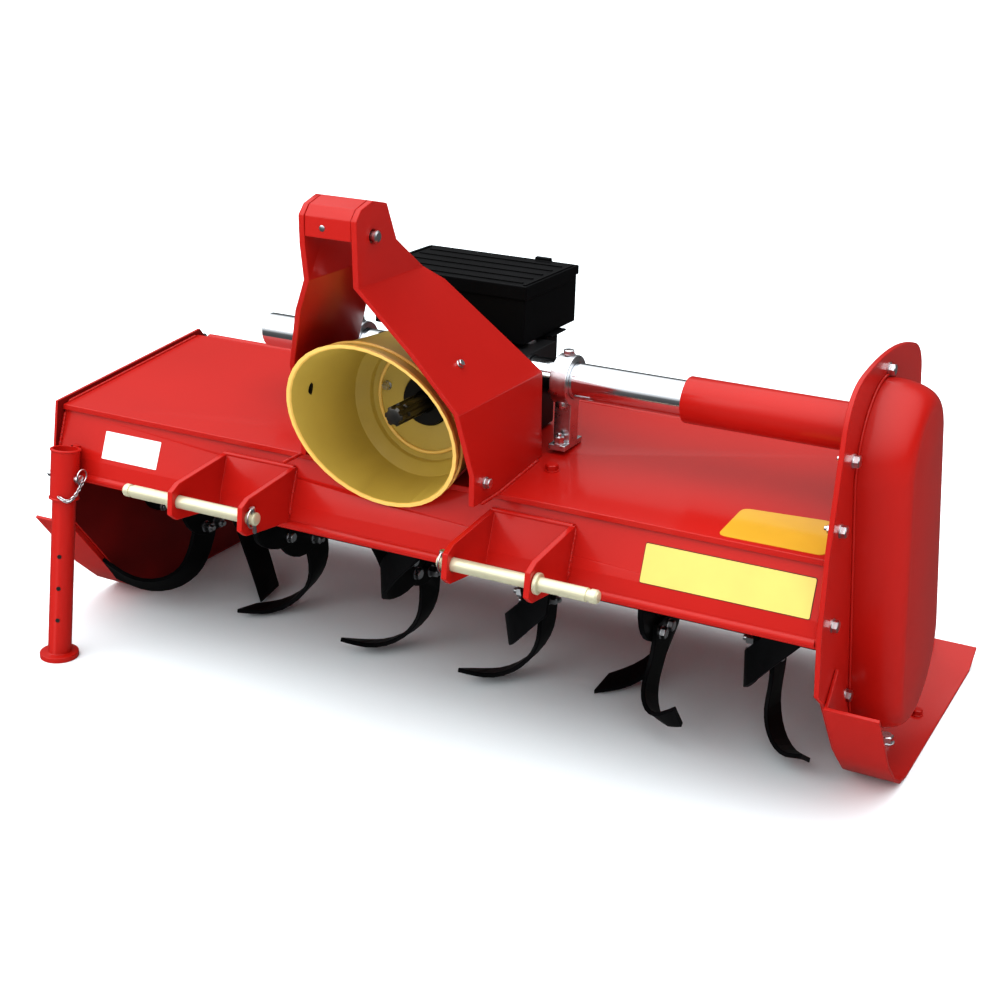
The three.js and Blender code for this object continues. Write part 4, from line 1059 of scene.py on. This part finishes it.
class ROTAVATOR_OT_stage(bpy.types.Operator):
    """Lay the floor, hang the lights and set the camera"""
    bl_idname = "rotavator.stage"
    bl_label = "Floor, lights and camera"

    def execute(self, context):
        scene = context.scene
        scene.view_settings.view_transform = "Standard"
        scene.view_settings.look = "Medium High Contrast"
        self.lay_floor(scene)
        scene.world = self.studio_world()
        self.hang_lamps()
        self.set_camera(scene)
        return {"FINISHED"}

    def lay_floor(self, scene):
        """A wide plain floor, kept out of the reflections."""
        mesh = bpy.data.meshes.new("floor")
        reach = 60.0
        mesh.from_pydata([(-reach, -reach, 0), (reach, -reach, 0), (reach, reach, 0), (-reach, reach, 0)],
                         [], [(0, 1, 2, 3)])
        floor = bpy.data.objects.new("floor", mesh)
        scene.collection.objects.link(floor)
        mesh.materials.append(finish("pale_floor", (0.89, 0.94, 0.96, 1), 0.6, cloud=0.005, cloud_scale=1.0,
                                     rough_spread=0.02, specular=0.15))
        floor.visible_glossy = False

    def studio_world(self):
        """Soft light that grows with the cosine to its brightest direction, and is plain to the camera."""
        world = bpy.data.worlds.new("studio")
        world.use_nodes = True
        tree = world.node_tree
        sky = tree.nodes["Background"]
        tint = tree.nodes.new("ShaderNodeValToRGB")
        stops = [(0.0, 0.1), (0.25, 0.16), (0.6, 1.6), (1.0, 2.9)]
        for i, (at, value) in enumerate(stops):
            stop = tint.color_ramp.elements[i] if i < 2 else tint.color_ramp.elements.new(at)
            stop.position = at
            stop.color = (value * 0.97, value * 0.99, value, 1)
        facing = tree.nodes.new("ShaderNodeVectorMath")
        facing.operation = "DOT_PRODUCT"
        facing.inputs[1].default_value = unit((-0.1, -0.3, 0.95))
        tree.links.new(tree.nodes.new("ShaderNodeTexCoord").outputs["Generated"], facing.inputs[0])
        tree.links.new(facing.outputs["Value"], tint.inputs["Fac"])
        tree.links.new(tint.outputs["Color"], sky.inputs["Color"])
        plain = tree.nodes.new("ShaderNodeBackground")
        plain.inputs["Color"].default_value = (0.96, 0.97, 0.98, 1)
        seen = tree.nodes.new("ShaderNodeMixShader")
        tree.links.new(tree.nodes.new("ShaderNodeLightPath").outputs["Is Camera Ray"], seen.inputs["Fac"])
        tree.links.new(sky.outputs["Background"], seen.inputs[1])
        tree.links.new(plain.outputs["Background"], seen.inputs[2])
        tree.links.new(seen.outputs["Shader"], tree.nodes["World Output"].inputs["Surface"])
        return world

    def hang_lamps(self):
        """Three soft rectangular lamps, each turned towards its target."""
        lamps = [
            ("front_left", (-2.6, -2.8, 2.4), (0, 0, 0.4), 1.8, 1.8, 8.0),
            ("right_fill", (3.4, -2.2, 2.2), (0.5, 0, 0.4), 1.2, 1.8, 1.0),
            ("rear", (-1.0, 3.2, 3.0), (0, 0, 0.4), 2.6, 1.2, 5.0),
        ]
        for name, spot, target, width, height, power in lamps:
            light = bpy.data.lights.new(name, "AREA")
            light.shape = "RECTANGLE"
            light.size, light.size_y, light.energy = width, height, power
            back = unit(np.array(spot) - np.array(target))
            stand_at(name, light, *side_axes(back), back, spot)

    def set_camera(self, scene):
        """The camera, from the angle it is turned round the machine, its height angle and its roll."""
        turn, lift, roll = np.radians([26.95, 20.32, 1.69])
        back = np.array([math.sin(turn) * math.cos(lift), -math.cos(turn) * math.cos(lift), math.sin(lift)])
        level = np.array([math.cos(turn), math.sin(turn), 0.0])
        rise = np.cross(back, level)
        right = math.cos(roll) * level + math.sin(roll) * rise
        up = -math.sin(roll) * level + math.cos(roll) * rise
        lens = bpy.data.cameras.new("studio_camera")
        lens.lens, lens.sensor_width = 60.42, 36.0
        scene.camera = stand_at("studio_camera", lens, right, up, back,
                                DATUM + np.array([1.326, -2.21592, 1.360]))


class ROTAVATOR_PT_panel(bpy.types.Panel):
    """Sidebar panel with the settings and one button for each group of pieces"""
    bl_label = "Rotavator"
    bl_idname = "ROTAVATOR_PT_panel"
    bl_space_type = "VIEW_3D"
    bl_region_type = "UI"
    bl_category = "Rotavator"

    def draw(self, context):
        for settings in (context.scene.rotavator_sizes, context.scene.rotavator_colours):
            for name in settings.__annotations__:
                self.layout.prop(settings, name)
        for step in STEPS:
            self.layout.operator(step.bl_idname)


STEPS = (
    ROTAVATOR_OT_stage,
    ROTAVATOR_OT_hood,
    ROTAVATOR_OT_chain_case,
    ROTAVATOR_OT_skids,
    ROTAVATOR_OT_beam,
    ROTAVATOR_OT_gearbox,
    ROTAVATOR_OT_drive_shaft,
    ROTAVATOR_OT_mast,
    ROTAVATOR_OT_hitch,
    ROTAVATOR_OT_tool_box,
    ROTAVATOR_OT_stand,
    ROTAVATOR_OT_rotor,
    ROTAVATOR_OT_tailboard,
    ROTAVATOR_OT_plates,
)
CLASSES = (RotavatorSizes, RotavatorColours, *STEPS, ROTAVATOR_PT_panel)


def register():
    """Register the settings, the operators and the panel."""
    for item in CLASSES:
        bpy.utils.register_class(item)
    bpy.types.Scene.rotavator_sizes = bpy.props.PointerProperty(type=RotavatorSizes)
    bpy.types.Scene.rotavator_colours = bpy.props.PointerProperty(type=RotavatorColours)


def unregister():
    """Take the settings, the operators and the panel away again."""
    del bpy.types.Scene.rotavator_sizes
    del bpy.types.Scene.rotavator_colours
    for item in reversed(CLASSES):
        bpy.utils.unregister_class(item)


def main():
    """Build every group of pieces."""
    register()
    for step in STEPS:
        group, action = step.bl_idname.split(".")
        getattr(getattr(bpy.ops, group), action)()


if __name__ == "__main__":
    main()
